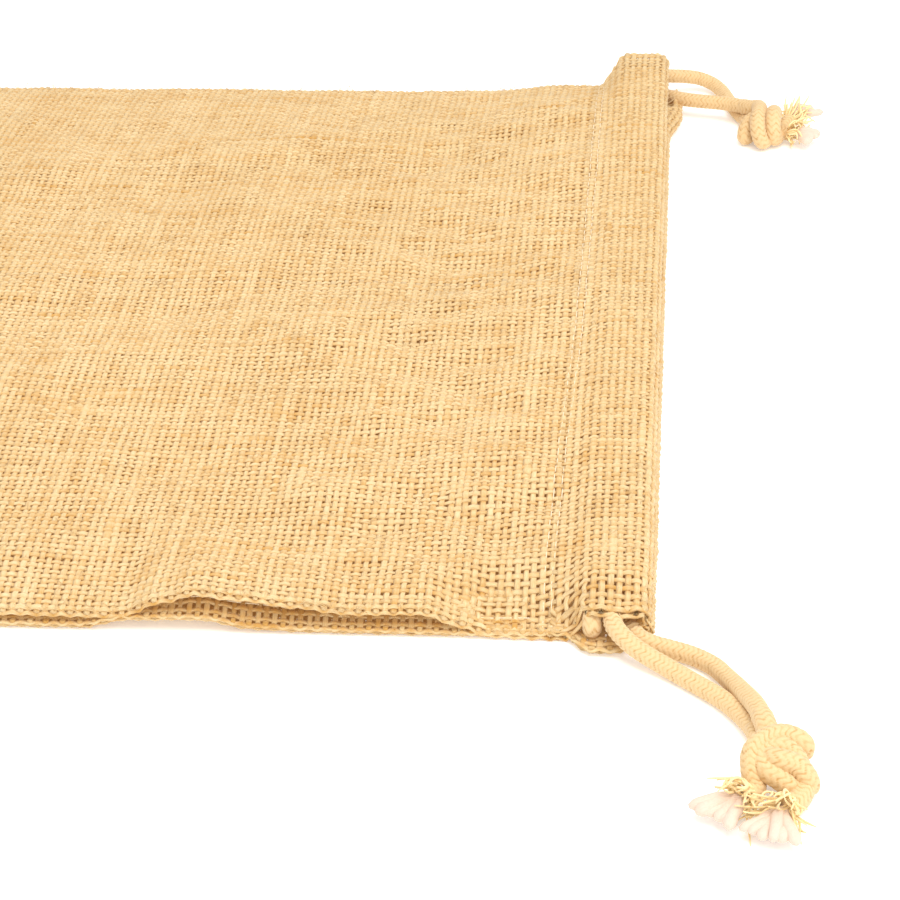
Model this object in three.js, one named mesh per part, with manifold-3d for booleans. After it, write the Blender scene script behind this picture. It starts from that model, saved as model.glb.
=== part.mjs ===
// Drawstring gift pouch in open-weave jute: two cloth panels, a turned hem casing along each side of
// the mouth, and two braided cotton cords that run through both casings, one leaving at each corner.
// Millimetres, +Z up. The empty pouch lies on z = 0 with its mouth towards +X. The origin is under the
// middle of the cloth.

import * as THREE from 'three';
import { mergeVertices } from 'three/addons/utils/BufferGeometryUtils.js';
import Module from 'manifold-3d';

const wasm = await Module();
wasm.setup();

// Driving dimensions
const LENGTH = 400;             // bottom seam to mouth fold
const WIDTH = 300;              // side seam to side seam
const CLOTH = 1.4;              // thickness of one layer of jute
const CASING_DEPTH = 21.5;      // mouth fold to the casing's stitch lines
const CASING_HEIGHT = 6.3;      // outside height of one casing with its cords
const CASING_WALL = 0.75;       // thickness of one casing layer, pressed by the cords
const CHANNEL_DEPTH = 14.2;     // depth of the casing's hollow, behind the mouth fold
const CORNER_CUT = 14;          // length at a corner where the casings' inner layers stop
const CORD = 4.2;               // diameter of the braided cotton cord
const THREAD = 0.5;             // thickness of the sewing thread
const GAP = 0.3;                // clearance between pieces that touch
const EDGE_HEIGHT = 3.6;        // underside of the upper panel along the side seams
const DOME_RISE = 8.4;          // how far the upper panel rises above its edges
const SEAM_WIDTH = 11;          // width of the turned-in seam allowances
const SEAM_HEIGHT = 1.6;        // two allowances pressed together
const SEAM_INSET = 1.4;         // cloth edge to the seam allowances
const RISE_LENGTH = 45;         // length over which the upper panel rises at either end
const TAIL_DROP = 0.2;          // how far the upper casing's tail sits below its panel
const TAIL_LENGTH = 3.1;        // flat tail behind the casing's hollow
const BACK_ROW = 0.5;           // hem edge to the back row of stitches
const FRONT_ROW = 2.6;          // hem edge to the front row of stitches

// Places worked out from them
const MOUTH_X = LENGTH / 2;
const BOTTOM_X = -LENGTH / 2;
const NEAR_Y = -WIDTH / 2;
const FAR_Y = WIDTH / 2;
const HEM_X = MOUTH_X - CASING_DEPTH;
const CORD_R = CORD / 2;
const NEAR_CORD_X = MOUTH_X - 6.8;
const FAR_CORD_X = MOUTH_X - 12.4;
const LOWER_CENTRE = CASING_HEIGHT / 2;

// Heights of the middle of the upper casing along the mouth. The mouth stands open in its middle and
// closes at the near corner, where the upper casing lies on the lower one.
const UPPER_CENTRE = [
  [NEAR_Y, 7.45], [NEAR_Y + CORNER_CUT, 9.75], [-75, 14.0],
  [0, 14.5], [75, 14.3], [FAR_Y - CORNER_CUT, 13.5], [FAR_Y, 13.3],
];

const STRAW = { color: 0xd9b272, roughness: 0.95, metalness: 0 };
const STRAW_SHADE = { color: 0xb98a55, roughness: 0.95, metalness: 0 };
const BRAID = { color: 0xe3c17f, roughness: 0.8, metalness: 0 };
const CORE = { color: 0xf6e6d8, roughness: 0.9, metalness: 0 };
const SEWING = { color: 0xf2e8d2, roughness: 0.6, metalness: 0 };

const pouch = new THREE.Group();

function addPart(name, geometry, finish) {
  const part = new THREE.Mesh(geometry, new THREE.MeshStandardMaterial(finish));
  part.name = name;
  pouch.add(part);
  return part;
}

function smooth(t) {
  const s = Math.min(1, Math.max(0, t));
  return s * s * (3 - 2 * s);
}

// A value that eases from one [place, value] pair to the next.
function eased(pairs, place) {
  for (let i = 1; i < pairs.length; i += 1) {
    const [a, low] = pairs[i - 1];
    const [b, high] = pairs[i];
    if (place <= b) return low + (high - low) * smooth((place - a) / (b - a));
  }
  return pairs[pairs.length - 1][1];
}

function upperCentre(y) {
  return eased(UPPER_CENTRE, y);
}

// Moves every point of a geometry by a function of its place.
function shaped(geometry, move) {
  const places = geometry.attributes.position;
  const point = new THREE.Vector3();
  for (let i = 0; i < places.count; i += 1) {
    move(point.fromBufferAttribute(places, i));
    places.setXYZ(i, point.x, point.y, point.z);
  }
  geometry.computeVertexNormals();
  return geometry;
}

function box(low, high, splits = [1, 1, 1]) {
  const [x, y, z] = low.map((v, i) => high[i] - v);
  const block = new THREE.BoxGeometry(x, y, z, ...splits);
  block.translate(...low.map((v, i) => (v + high[i]) / 2));
  return block;
}

function toSolid(geometry) {
  const bare = geometry.clone();
  bare.deleteAttribute('normal');
  bare.deleteAttribute('uv');
  const merged = mergeVertices(bare, 1e-4);
  const corners = [...merged.index.array];
  const triangles = [];
  for (let i = 0; i < corners.length; i += 3) {
    const [a, b, c] = corners.slice(i, i + 3);
    if (a !== b && b !== c && c !== a) triangles.push(a, b, c);
  }
  return new wasm.Manifold(new wasm.Mesh({
    numProp: 3,
    vertProperties: new Float32Array(merged.attributes.position.array),
    triVerts: new Uint32Array(triangles),
  }));
}

function fromSolid(solid) {
  const mesh = solid.getMesh();
  const geometry = new THREE.BufferGeometry();
  geometry.setAttribute('position', new THREE.BufferAttribute(mesh.vertProperties, 3));
  geometry.setIndex(new THREE.BufferAttribute(mesh.triVerts, 1));
  geometry.computeVertexNormals();
  return geometry;
}

function cut(geometry, ...tools) {
  return fromSolid(tools.reduce((solid, tool) => solid.subtract(toSolid(tool)), toSolid(geometry)));
}

// ---- Cloth panels ----

// Height of the upper panel's underside: low along the side and bottom seams, domed between them, and
// rising to the upper casing near the mouth.
function upperUnderside(x, y) {
  const across = 1 - Math.abs(y / FAR_Y) ** 3;
  const dome = EDGE_HEIGHT + DOME_RISE * across * smooth((x - BOTTOM_X) / RISE_LENGTH);
  const rise = smooth((x - HEM_X + RISE_LENGTH) / RISE_LENGTH);
  return dome + (upperCentre(y) - CLOTH / 2 - dome) * rise;
}

function addPanels() {
  addPart('lower_panel', box([BOTTOM_X, NEAR_Y, 0], [HEM_X - GAP, FAR_Y, CLOTH]), STRAW_SHADE);
  const flat = box([BOTTOM_X, NEAR_Y, 0], [HEM_X - GAP, FAR_Y, CLOTH], [28, 20, 1]);
  addPart('upper_panel', shaped(flat, (p) => {
    p.z += upperUnderside(p.x, p.y);
  }), STRAW);
}

// ---- Casings at the mouth ----

// The casing's section across the mouth: a flat tail of two layers at the stitch lines, then a hollow
// with a round mouth fold. Across is measured from the fold, and up from the middle of the casing.
function casingSection(tailLow) {
  const half = CASING_HEIGHT / 2;
  const tailHigh = tailLow + 2 * CASING_WALL + GAP;
  const slopeStart = -CASING_DEPTH + TAIL_LENGTH;
  const foldArc = (radius) => new THREE.EllipseCurve(-half, 0, radius, radius, -Math.PI / 2, Math.PI / 2)
    .getPoints(8);
  const outline = [
    new THREE.Vector2(-CASING_DEPTH, tailLow), new THREE.Vector2(slopeStart, tailLow),
    new THREE.Vector2(-CHANNEL_DEPTH, -half), ...foldArc(half), new THREE.Vector2(-CHANNEL_DEPTH, half),
    new THREE.Vector2(slopeStart, tailHigh), new THREE.Vector2(-CASING_DEPTH, tailHigh),
  ];
  const inner = half - CASING_WALL;
  const chamfer = 1;
  const shoulder = -CHANNEL_DEPTH + 0.2;
  const hollow = [
    ...foldArc(inner), new THREE.Vector2(shoulder, inner),
    new THREE.Vector2(shoulder - chamfer, inner - chamfer),
    new THREE.Vector2(shoulder - chamfer, -inner + chamfer),
    new THREE.Vector2(shoulder, -inner),
  ];
  const section = new THREE.Shape(turningPoints(outline));
  section.holes.push(new THREE.Path(hollow.reverse()));
  return section;
}

// Leaves out the points of an outline where it runs straight on.
function turningPoints(points) {
  return points.filter((point, i) => {
    const before = points[(i + points.length - 1) % points.length];
    const after = points[(i + 1) % points.length];
    const turn = point.clone().sub(before).cross(after.clone().sub(point));
    return Math.abs(turn) > 1e-9;
  });
}

// Runs the section from one side of the pouch to the other, following a height along the mouth.
function casingTube(tailLow, fromY, toY, steps, centre) {
  const tube = new THREE.ExtrudeGeometry(casingSection(tailLow), {
    depth: toY - fromY, steps, bevelEnabled: false, curveSegments: 5,
  });
  tube.rotateX(Math.PI / 2);
  tube.translate(MOUTH_X, toY, 0);
  return shaped(tube, (p) => {
    p.z += centre(p.y);
  });
}

function addCasings() {
  const clear = 5;
  const top = 30;
  const nearCut = NEAR_Y + CORNER_CUT;
  const farCut = FAR_Y - CORNER_CUT - 2;
  const channelBack = MOUTH_X - CHANNEL_DEPTH - 2.2;
  const beyond = MOUTH_X + clear;

  // The lower casing is a half-round cup at the near corner and stops short of the far one.
  const lower = casingTube(-LOWER_CENTRE, NEAR_Y, farCut, 1, () => LOWER_CENTRE);
  const cupRim = LOWER_CENTRE + 0.6;
  addPart('lower_casing', cut(
    lower,
    box([channelBack, NEAR_Y - clear, cupRim], [beyond, nearCut, top]),
  ), STRAW_SHADE);

  // The upper casing is an arch at both corners, where its lower layer is turned back.
  const upper = casingTube(-CLOTH / 2 - TAIL_DROP, NEAR_Y, FAR_Y, 36, upperCentre);
  addPart('upper_casing', cut(
    upper,
    box([channelBack, NEAR_Y - clear, 0], [beyond, nearCut, upperCentre(NEAR_Y) - 0.1]),
    box([channelBack, farCut, 0], [beyond, FAR_Y + clear, upperCentre(FAR_Y) - 0.1]),
  ), STRAW);
}

// ---- Seams and sewing thread ----

function addSeams() {
  const seamLow = CLOTH + GAP;
  const seamHigh = seamLow + SEAM_HEIGHT;
  const seamStart = BOTTOM_X + 14;
  const seamEnd = HEM_X - 4;
  const threadLow = (seamLow + seamHigh - THREAD) / 2;
  for (const [name, side] of [['near', -1], ['far', 1]]) {
    const outer = side * (FAR_Y - SEAM_INSET);
    const inner = side * (FAR_Y - SEAM_INSET - SEAM_WIDTH);
    addPart(`${name}_side_seam`, box(
      [seamStart, Math.min(outer, inner), seamLow],
      [seamEnd, Math.max(outer, inner), seamHigh],
    ), STRAW_SHADE);
    const stitch = side * (FAR_Y - SEAM_INSET + GAP + THREAD / 2);
    addPart(`${name}_side_thread`, box(
      [seamStart, stitch - THREAD / 2, threadLow],
      [seamEnd, stitch + THREAD / 2, threadLow + THREAD],
    ), SEWING);
  }
  const reach = FAR_Y - SEAM_WIDTH - 8;
  const outerX = BOTTOM_X + SEAM_INSET;
  addPart('bottom_seam', box(
    [outerX, -reach, seamLow],
    [outerX + SEAM_WIDTH, reach, seamHigh],
  ), STRAW_SHADE);
  addPart('bottom_thread', box(
    [outerX - GAP - THREAD, -reach, threadLow],
    [outerX - GAP, reach, threadLow + THREAD],
  ), SEWING);
}

// Two rows of stitches hold each casing. They lie on the outside of the upper tail and on the inside
// of the lower one.
function addHemThreads() {
  const tailHeight = 2 * CASING_WALL + GAP;
  const rows = [['back', BACK_ROW - CASING_DEPTH], ['front', FRONT_ROW - CASING_DEPTH]];
  for (const [row, offset] of rows) {
    const x = MOUTH_X + offset;
    const lowerZ = tailHeight + GAP;
    addPart(`lower_hem_thread_${row}`, box(
      [x, NEAR_Y + 1, lowerZ],
      [x + THREAD, FAR_Y - CORNER_CUT - 4, lowerZ + THREAD],
    ), SEWING);
    const flat = box([x, NEAR_Y + 1, 0], [x + THREAD, FAR_Y - 1, THREAD], [1, 36, 1]);
    addPart(`upper_hem_thread_${row}`, shaped(flat, (p) => {
      p.z += upperCentre(p.y) - CLOTH / 2 - TAIL_DROP + tailHeight + 1.5 * GAP;
    }), SEWING);
  }
}

// ---- Cords ----

function cordSection(sides) {
  const points = [];
  for (let i = 0; i < sides; i += 1) {
    const turn = (2 * Math.PI * i) / sides;
    points.push(new THREE.Vector2(CORD_R * Math.cos(turn), CORD_R * Math.sin(turn)));
  }
  return new THREE.Shape(points);
}

function cordAlong(points, steps, sides = 8) {
  const path = new THREE.CatmullRomCurve3(points.map((p) => new THREE.Vector3(...p)), false, 'centripetal');
  return new THREE.ExtrudeGeometry(cordSection(sides), {
    extrudePath: path, steps, bevelEnabled: false, curveSegments: 1,
  });
}

// The near cord lies next to the mouth fold. Its ends leave at the near corner, the upper leg a little
// further from the fold than the lower one, and it turns back at the far corner.
const UPPER_STATIONS = [-134, -124, -112, -100, -88, -75, -50, -25, 0, 25, 50, 75, 100, 125];
const NEAR_TURN_Y = FAR_Y - CORNER_CUT + 1;
const NEAR_UPPER_LEG = [
  [NEAR_CORD_X - 1.2, NEAR_Y, 7.45],
  [NEAR_CORD_X - 0.9, NEAR_Y + 5, 8.15],
  ...UPPER_STATIONS.map((y) => [NEAR_CORD_X, y, upperCentre(y)]),
  [NEAR_CORD_X, NEAR_TURN_Y, upperCentre(NEAR_TURN_Y)],
];
const NEAR_LOWER_LEG = [
  [MOUTH_X - 3.5, NEAR_Y + 0.2, 3.3],
  [MOUTH_X - 5.1, NEAR_Y + 4, 3.2],
  [MOUTH_X - 6.4, NEAR_Y + 9, LOWER_CENTRE],
  [NEAR_CORD_X, NEAR_Y + CORNER_CUT + 1, LOWER_CENTRE],
  [NEAR_CORD_X, 0, LOWER_CENTRE],
  [NEAR_CORD_X, NEAR_TURN_Y, LOWER_CENTRE],
];
const NEAR_TURN = [
  [NEAR_CORD_X, NEAR_TURN_Y + 0.5, upperCentre(NEAR_TURN_Y)],
  [NEAR_CORD_X, NEAR_TURN_Y + 1.6, upperCentre(NEAR_TURN_Y) - 0.05],
  [NEAR_CORD_X, NEAR_TURN_Y + 4.6, 12.0],
  [NEAR_CORD_X, NEAR_TURN_Y + 6.2, 8.3],
  [NEAR_CORD_X, NEAR_TURN_Y + 4.6, 4.6],
  [NEAR_CORD_X, NEAR_TURN_Y + 1.6, LOWER_CENTRE + 0.05],
  [NEAR_CORD_X, NEAR_TURN_Y + 0.5, LOWER_CENTRE],
];

// The far cord lies behind it, leaves at the far corner and turns back at the near one.
const FAR_TURN_Y = NEAR_Y + 4.5;
const FAR_UPPER_LEG = [
  [FAR_CORD_X, FAR_TURN_Y, 8.1],
  ...UPPER_STATIONS.map((y) => [FAR_CORD_X, y, upperCentre(y)]),
  [FAR_CORD_X, FAR_Y - 4, upperCentre(FAR_Y)],
  [FAR_CORD_X, FAR_Y + 3.1, upperCentre(FAR_Y) - 0.1],
];
const FAR_LOWER_LEG = [
  [FAR_CORD_X, FAR_TURN_Y, LOWER_CENTRE],
  [FAR_CORD_X, 0, LOWER_CENTRE],
  [FAR_CORD_X, 125, LOWER_CENTRE],
  [FAR_CORD_X + 0.1, 140, 3.4],
  [FAR_CORD_X + 1.6, 145.2, 3.9],
  [FAR_CORD_X + 5.0, 147.6, 4.5],
  [FAR_CORD_X + 8.6, 146.6, 5.0],
];
const FAR_TURN = [
  [FAR_CORD_X, FAR_TURN_Y - 0.5, 8.05],
  [FAR_CORD_X, FAR_TURN_Y - 1.8, 8.0],
  [FAR_CORD_X, FAR_TURN_Y - 4.4, 7.3],
  [FAR_CORD_X, FAR_TURN_Y - 5.5, 5.6],
  [FAR_CORD_X, FAR_TURN_Y - 4.4, 3.9],
  [FAR_CORD_X, FAR_TURN_Y - 1.8, LOWER_CENTRE + 0.05],
  [FAR_CORD_X, FAR_TURN_Y - 0.5, LOWER_CENTRE],
];

// The free strands lie from the casings to the knots.
const NEAR_STRAND_UPPER = [
  [NEAR_CORD_X - 1.25, NEAR_Y - 0.9, 7.3], [MOUTH_X - 7.4, -153.4, 6.8], [MOUTH_X - 5.6, -156.0, 6.0],
  [MOUTH_X - 2.6, -158.4, 4.6], [MOUTH_X + 3.4, -162.0, 2.8], [MOUTH_X + 9.5, -167.0, 2.2],
  [MOUTH_X + 15.6, -173.4, 2.2], [MOUTH_X + 19.3, -179.2, 2.7], [MOUTH_X + 21.6, -185.2, 3.6],
];
const NEAR_STRAND_LOWER = [
  [MOUTH_X - 3.05, -150.75, 3.3], [MOUTH_X - 1.7, -152.7, 3.2], [MOUTH_X + 0.8, -154.3, 3.0],
  [MOUTH_X + 4.6, -155.4, 2.6], [MOUTH_X + 9.5, -157.2, 2.2], [MOUTH_X + 14.0, -160.9, 2.2],
  [MOUTH_X + 17.8, -166.2, 2.6], [MOUTH_X + 21.3, -174.1, 4.3], [MOUTH_X + 23.9, -181.0, 6.4],
  [MOUTH_X + 25.2, -186.2, 7.6],
];
const FAR_STRAND_UPPER = [
  [FAR_CORD_X + 0.1, FAR_Y + 4.1, 13.05], [MOUTH_X - 11.4, 157.2, 12.4], [MOUTH_X - 8.6, 160.2, 11.0],
  [MOUTH_X - 4.2, 161.8, 9.1], [MOUTH_X + 0.6, 161.9, 7.0], [MOUTH_X + 5.6, 162.5, 5.6],
  [MOUTH_X + 10.2, 162.6, 4.4], [MOUTH_X + 14.2, 160.2, 3.2], [MOUTH_X + 17.0, 155.6, 2.4],
  [MOUTH_X + 18.8, 149.6, 2.2], [MOUTH_X + 20.6, 143.2, 2.2], [MOUTH_X + 22.7, 136.6, 2.8],
  [MOUTH_X + 24.4, 132.2, 3.5],
];
const FAR_STRAND_LOWER = [
  [MOUTH_X - 2.95, 146.1, 5.1], [MOUTH_X + 0.4, 144.2, 5.4], [MOUTH_X + 4.8, 141.2, 6.0],
  [MOUTH_X + 10.2, 139.2, 6.5], [MOUTH_X + 14.9, 138.0, 6.9], [MOUTH_X + 19.4, 136.4, 7.4],
  [MOUTH_X + 23.6, 133.4, 8.0],
];

function addCords() {
  addPart('near_cord_upper_leg', cordAlong(NEAR_UPPER_LEG, 40), BRAID);
  addPart('near_cord_lower_leg', cordAlong(NEAR_LOWER_LEG, 36), BRAID);
  addPart('near_cord_turn', cordAlong(NEAR_TURN, 14, 10), BRAID);
  addPart('far_cord_upper_leg', cordAlong(FAR_UPPER_LEG, 40), BRAID);
  addPart('far_cord_lower_leg', cordAlong(FAR_LOWER_LEG, 70), BRAID);
  addPart('far_cord_turn', cordAlong(FAR_TURN, 14, 10), BRAID);
  addPart('near_strand_upper', cordAlong(NEAR_STRAND_UPPER, 16), BRAID);
  addPart('near_strand_lower', cordAlong(NEAR_STRAND_LOWER, 16), BRAID);
  addPart('far_strand_upper', cordAlong(FAR_STRAND_UPPER, 22), BRAID);
  addPart('far_strand_lower', cordAlong(FAR_STRAND_LOWER, 12), BRAID);
}

// ---- Knots and frayed tails ----

function egg(centre, radii) {
  const ball = new THREE.SphereGeometry(1, 16, 10);
  ball.scale(...radii);
  ball.translate(...centre);
  return ball;
}

// A tapered round stub from one place to another, pressed to a height.
function stub(from, to, startR, endR, flatten) {
  const start = new THREE.Vector3(...from);
  const end = new THREE.Vector3(...to);
  const reach = end.clone().sub(start);
  const profile = [
    new THREE.Vector2(0, 0), new THREE.Vector2(startR, 0),
    new THREE.Vector2(endR, reach.length()), new THREE.Vector2(0, reach.length()),
  ];
  const cone = new THREE.LatheGeometry(profile, 12);
  const turn = new THREE.Quaternion().setFromUnitVectors(
    new THREE.Vector3(0, 1, 0),
    reach.clone().normalize(),
  );
  cone.applyQuaternion(turn);
  cone.scale(1, 1, flatten);
  cone.translate(...from);
  return cone;
}

function addKnot(side, centre, radii) {
  addPart(`${side}_knot`, egg(centre, radii), BRAID);
}

// Each tail is a stub of frayed sheath with a tuft of core strands beyond it.
function addTail(name, from, join, to, startR, joinR, endR, flatten) {
  addPart(`${name}_sheath`, stub(from, join, startR, joinR, flatten), BRAID);
  const apart = 3 * GAP;
  const step = new THREE.Vector3(...to).sub(new THREE.Vector3(...join)).normalize().multiplyScalar(apart);
  const next = [join[0] + step.x, join[1] + step.y, join[2]];
  addPart(`${name}_core`, stub(next, [to[0], to[1], next[2]], joinR, endR, flatten), CORE);
}

function addEnds() {
  addKnot('near', [MOUTH_X + 26, -196.4, 5.9], [7.6, 8.6, 5.7]);
  addTail(
    'near_tail_left',
    [MOUTH_X + 20.4, -205.3, 3.4], [MOUTH_X + 16.6, -210.6, 3.4], [MOUTH_X + 11.2, -217.5, 3.4],
    2.6, 3.6, 4.4, 0.72,
  );
  addTail(
    'near_tail_right',
    [MOUTH_X + 28.6, -207.2, 3.4], [MOUTH_X + 28.0, -214.6, 3.4], [MOUTH_X + 26.4, -223.5, 3.4],
    2.8, 3.8, 4.6, 0.7,
  );
  addKnot('far', [MOUTH_X + 29.4, 124.2, 5.6], [6.8, 6.6, 5.4]);
  addTail(
    'far_tail_upper',
    [MOUTH_X + 37.0, 128.6, 4.0], [MOUTH_X + 40.6, 133.0, 4.0], [MOUTH_X + 45.8, 138.4, 4.0],
    2.4, 3.0, 3.6, 0.9,
  );
  addTail(
    'far_tail_lower',
    [MOUTH_X + 37.4, 121.0, 3.3], [MOUTH_X + 41.4, 118.4, 3.3], [MOUTH_X + 46.8, 116.4, 3.3],
    2.4, 3.0, 3.6, 0.8,
  );
}

addPanels();
addCasings();
addSeams();
addHemThreads();
addCords();
addEnds();

export default pouch;
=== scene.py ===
import math

import bpy
import numpy as np
from mathutils import Matrix, Vector


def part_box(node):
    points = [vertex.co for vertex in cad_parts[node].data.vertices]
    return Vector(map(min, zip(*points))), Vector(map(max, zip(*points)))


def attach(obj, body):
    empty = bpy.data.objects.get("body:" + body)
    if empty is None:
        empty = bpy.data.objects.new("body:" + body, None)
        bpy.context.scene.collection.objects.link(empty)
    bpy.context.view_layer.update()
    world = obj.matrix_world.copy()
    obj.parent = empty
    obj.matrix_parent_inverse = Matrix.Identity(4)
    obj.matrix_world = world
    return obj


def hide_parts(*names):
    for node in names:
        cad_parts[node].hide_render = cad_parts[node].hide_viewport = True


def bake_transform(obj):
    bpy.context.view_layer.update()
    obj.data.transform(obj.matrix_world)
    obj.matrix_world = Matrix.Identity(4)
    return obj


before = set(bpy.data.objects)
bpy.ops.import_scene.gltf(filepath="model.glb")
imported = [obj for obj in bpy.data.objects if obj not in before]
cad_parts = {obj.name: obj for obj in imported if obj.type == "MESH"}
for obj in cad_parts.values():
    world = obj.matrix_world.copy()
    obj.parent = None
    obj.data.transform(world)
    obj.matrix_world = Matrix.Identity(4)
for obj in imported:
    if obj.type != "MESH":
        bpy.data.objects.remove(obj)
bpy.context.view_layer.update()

bl_info = {
    "name": "Jute Drawstring Pouch",
    "version": (1, 0, 0),
    "blender": (4, 5, 0),
    "location": "3D View > Sidebar > Pouch",
    "description": "Builds a woven jute gift pouch with braided cotton drawcords",
    "category": "Add Mesh",
}

# Places taken from the frame, in metres.
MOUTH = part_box("upper_casing")[1].x
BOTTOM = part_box("upper_panel")[0].x
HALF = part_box("upper_panel")[1].y
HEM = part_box("upper_casing")[0].x
NEAR, FAR = -1, 1

# Driving sizes of the cloth, in metres.
EDGE_HEIGHT = 0.0043        # middle of the upper cloth along its side seams
DOME_RISE = 0.0084          # how far it rises between them
RISE_LENGTH = 0.045         # length over which it rises at either end
LAYER = 0.0007              # half the thickness of one cloth
FOLD_RADIUS = 0.0027        # of the mouth fold, to the middle of the cloth
CHANNEL = 0.0142            # depth of the hollow behind the mouth fold
TAIL = 0.0212               # mouth fold to the foot of the casing's slope
TAIL_SLOPE = 0.0088         # length of that slope
EDGE_ROLL = 0.0007          # radius of the turned side edges
INSET = 0.0007              # how far the turned edge stands inside the full width
SEAM_WIDTH = 0.0105         # width of the turned-in seam allowances
SEAM_X = (-0.186, 0.1745)   # where the side seams start and end
LOWER_CENTRE = 0.00315      # middle of the lower casing's mouth fold

# Middle of the upper casing's mouth fold, from the near corner to the far one: y and height.
UPPER_CENTRE = [
    (-0.150, 0.00745), (-0.136, 0.00975), (-0.075, 0.0140),
    (0.0, 0.0145), (0.075, 0.0143), (0.136, 0.0135), (0.150, 0.0133),
]

# How much higher the upper cloth stands along its near edge than on the far one, from the bottom on.
NEAR_RIM = [
    (-0.2, 0.0), (0.02, 0.0002), (0.056, 0.0008), (0.082, 0.0006), (0.093, 0.0050), (0.100, 0.0071),
    (0.110, 0.0056), (0.121, 0.0042), (0.137, 0.0024), (0.157, 0.0015), (0.165, -0.0016),
]
# The lower cloth lifts off the floor in two places along its near edge.
NEAR_LIFT = [
    (-0.2, 0.0), (0.074, 0.0), (0.084, 0.0022), (0.101, 0.0026),
    (0.112, 0.0006), (0.125, 0.0), (0.2, 0.0),
]
# Height of the upper cloth over the near corner, where it comes down to the floor beside the casing.
NEAR_CORNER = [(0.150, 0.0058), (0.158, 0.0046), (0.166, 0.0019), (0.19, 0.0019)]
CORNER_FOOT = 0.1822        # where that cloth starts to rise into the casing's arch
FOOT_LENGTH = 0.0040        # length of that rise
SLACK_BACK = 0.012          # how much earlier it starts away from the corner
SLACK_LENGTH = 0.014        # how much longer it is there
LOWER_PEEK = 0.0008         # how far the lower casing shows all along the mouth
ARCH_REACH = 0.0028         # how far the upper casing's near end stands out over the cords
ARCH_DROOP = 0.0017         # how far that end hangs down beside the mouth
CUP_REACH = 0.0056          # how far the lower casing's near end stands out below them
FAR_SAG = 0.85              # how little the far edge rises before the casing
FAR_REACH = 0.0032          # how far the casing's far end stands out beyond the side edge
FAR_LIP = 0.0036            # how far the lower casing shows beside the mouth at the far corner
HEM_SWELL = 0.0009          # how far the hem's foot lifts the cloth behind the casing
HEM_DROP = 0.004            # length over which the inner hem comes back to the cloth
FLAT_SEAM = 0.004           # length over which the allowances come to lie flat
NEAR_CALM = 0.8             # how much of the waves the near edge takes away
FAR_CALM = 0.7              # and the far edge

# Spans over which a shape grows: where each starts, and its length. Along the pouch:
DOME_SPAN = (BOTTOM, RISE_LENGTH)
RISE_SPAN = (HEM - RISE_LENGTH, RISE_LENGTH)
WAVE_SPAN = (BOTTOM, 0.03)
PUCKER_SPAN = (MOUTH - 0.12, 0.07)
PUCKER_END_SPAN = (MOUTH - 0.024, 0.01)
SWELL_SPAN = (MOUTH - 0.05, 0.026)
SLOPE_SPAN = (MOUTH - TAIL, TAIL_SLOPE)
CORNER_SPAN = (0.15, 0.008)
DROOP_SPAN = (0.189, 0.009)
LIP_SPAN = (0.1815, 0.006)
LIP_END_SPAN = (0.1925, 0.007)
REACH_SPAN = (0.180, 0.006)
PEEK_SPAN = (MOUTH - 0.012, 0.010)
# From the middle of the pouch to either side:
EDGE_SPAN = (0.112, 0.036)
# From the middle to the near side:
LIFT_NEAR = (0.132, 0.016)
CORNER_NEAR = (0.1275, 0.021)
TIGHT_NEAR = (0.137, 0.0115)
CUP_NEAR = (0.137, 0.012)
ARCH_NEAR = (0.139, 0.010)
# From the middle to the far side:
SAG_FAR = (0.100, 0.045)
LIP_FAR = (0.118, 0.016)
REACH_FAR = (0.136, 0.012)

# Slow waves of the upper cloth: waves per metre along and across, phase, height.
WAVES = [
    (11.0, 3.0, 0.4, 0.0005), (-5.0, 14.0, 1.9, 0.0005), (21.0, 17.0, 3.1, 0.00028),
    (7.0, -24.0, 5.0, 0.0003), (33.0, -9.0, 0.9, 0.00018), (-26.0, 36.0, 2.2, 0.00016),
]
# Puckers behind the mouth, pulled by the casing.
PUCKERS = [(34.0, 58.0, 0.3, 0.00034), (-22.0, 71.0, 2.0, 0.00030), (48.0, 39.0, 4.1, 0.00024)]

# Routes of the free strands, from the casings to the knots.
NEAR_STRAND_UPPER = [
    (0.19195, -0.1509, 0.0073), (0.1926, -0.1534, 0.0068), (0.1944, -0.156, 0.006),
    (0.1974, -0.1584, 0.0046), (0.2034, -0.162, 0.0028), (0.2095, -0.167, 0.0022),
    (0.2158, -0.1732, 0.0022), (0.2198, -0.1790, 0.0024), (0.2226, -0.1852, 0.0030),
]
NEAR_STRAND_LOWER = [
    (0.19695, -0.15075, 0.0033), (0.1983, -0.1527, 0.0032), (0.2008, -0.1543, 0.003),
    (0.2046, -0.1554, 0.0026), (0.2095, -0.1572, 0.0022), (0.214, -0.1609, 0.0022),
    (0.2172, -0.1664, 0.0027), (0.2203, -0.1741, 0.0046), (0.2226, -0.181, 0.0064),
    (0.2238, -0.1862, 0.0072),
]
FAR_STRAND_UPPER = [
    (0.1877, 0.1531, 0.0130), (0.1886, 0.1551, 0.0112), (0.1910, 0.1564, 0.0089),
    (0.1952, 0.1570, 0.0074), (0.2003, 0.1580, 0.0065), (0.2056, 0.1598, 0.0056),
    (0.2102, 0.1610, 0.0044), (0.2142, 0.1596, 0.0032), (0.2170, 0.1556, 0.0024),
    (0.2188, 0.1496, 0.0022), (0.2206, 0.1432, 0.0022), (0.2227, 0.1366, 0.0024),
    (0.2244, 0.1322, 0.0029),
]
FAR_STRAND_LOWER = [
    (0.1960, 0.14665, 0.0049), (0.19705, 0.1461, 0.0051), (0.2004, 0.1442, 0.0054),
    (0.2048, 0.1412, 0.0058), (0.2102, 0.1392, 0.0060), (0.2149, 0.138, 0.0061),
    (0.2194, 0.1364, 0.0063), (0.2236, 0.1334, 0.0067),
]

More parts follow.
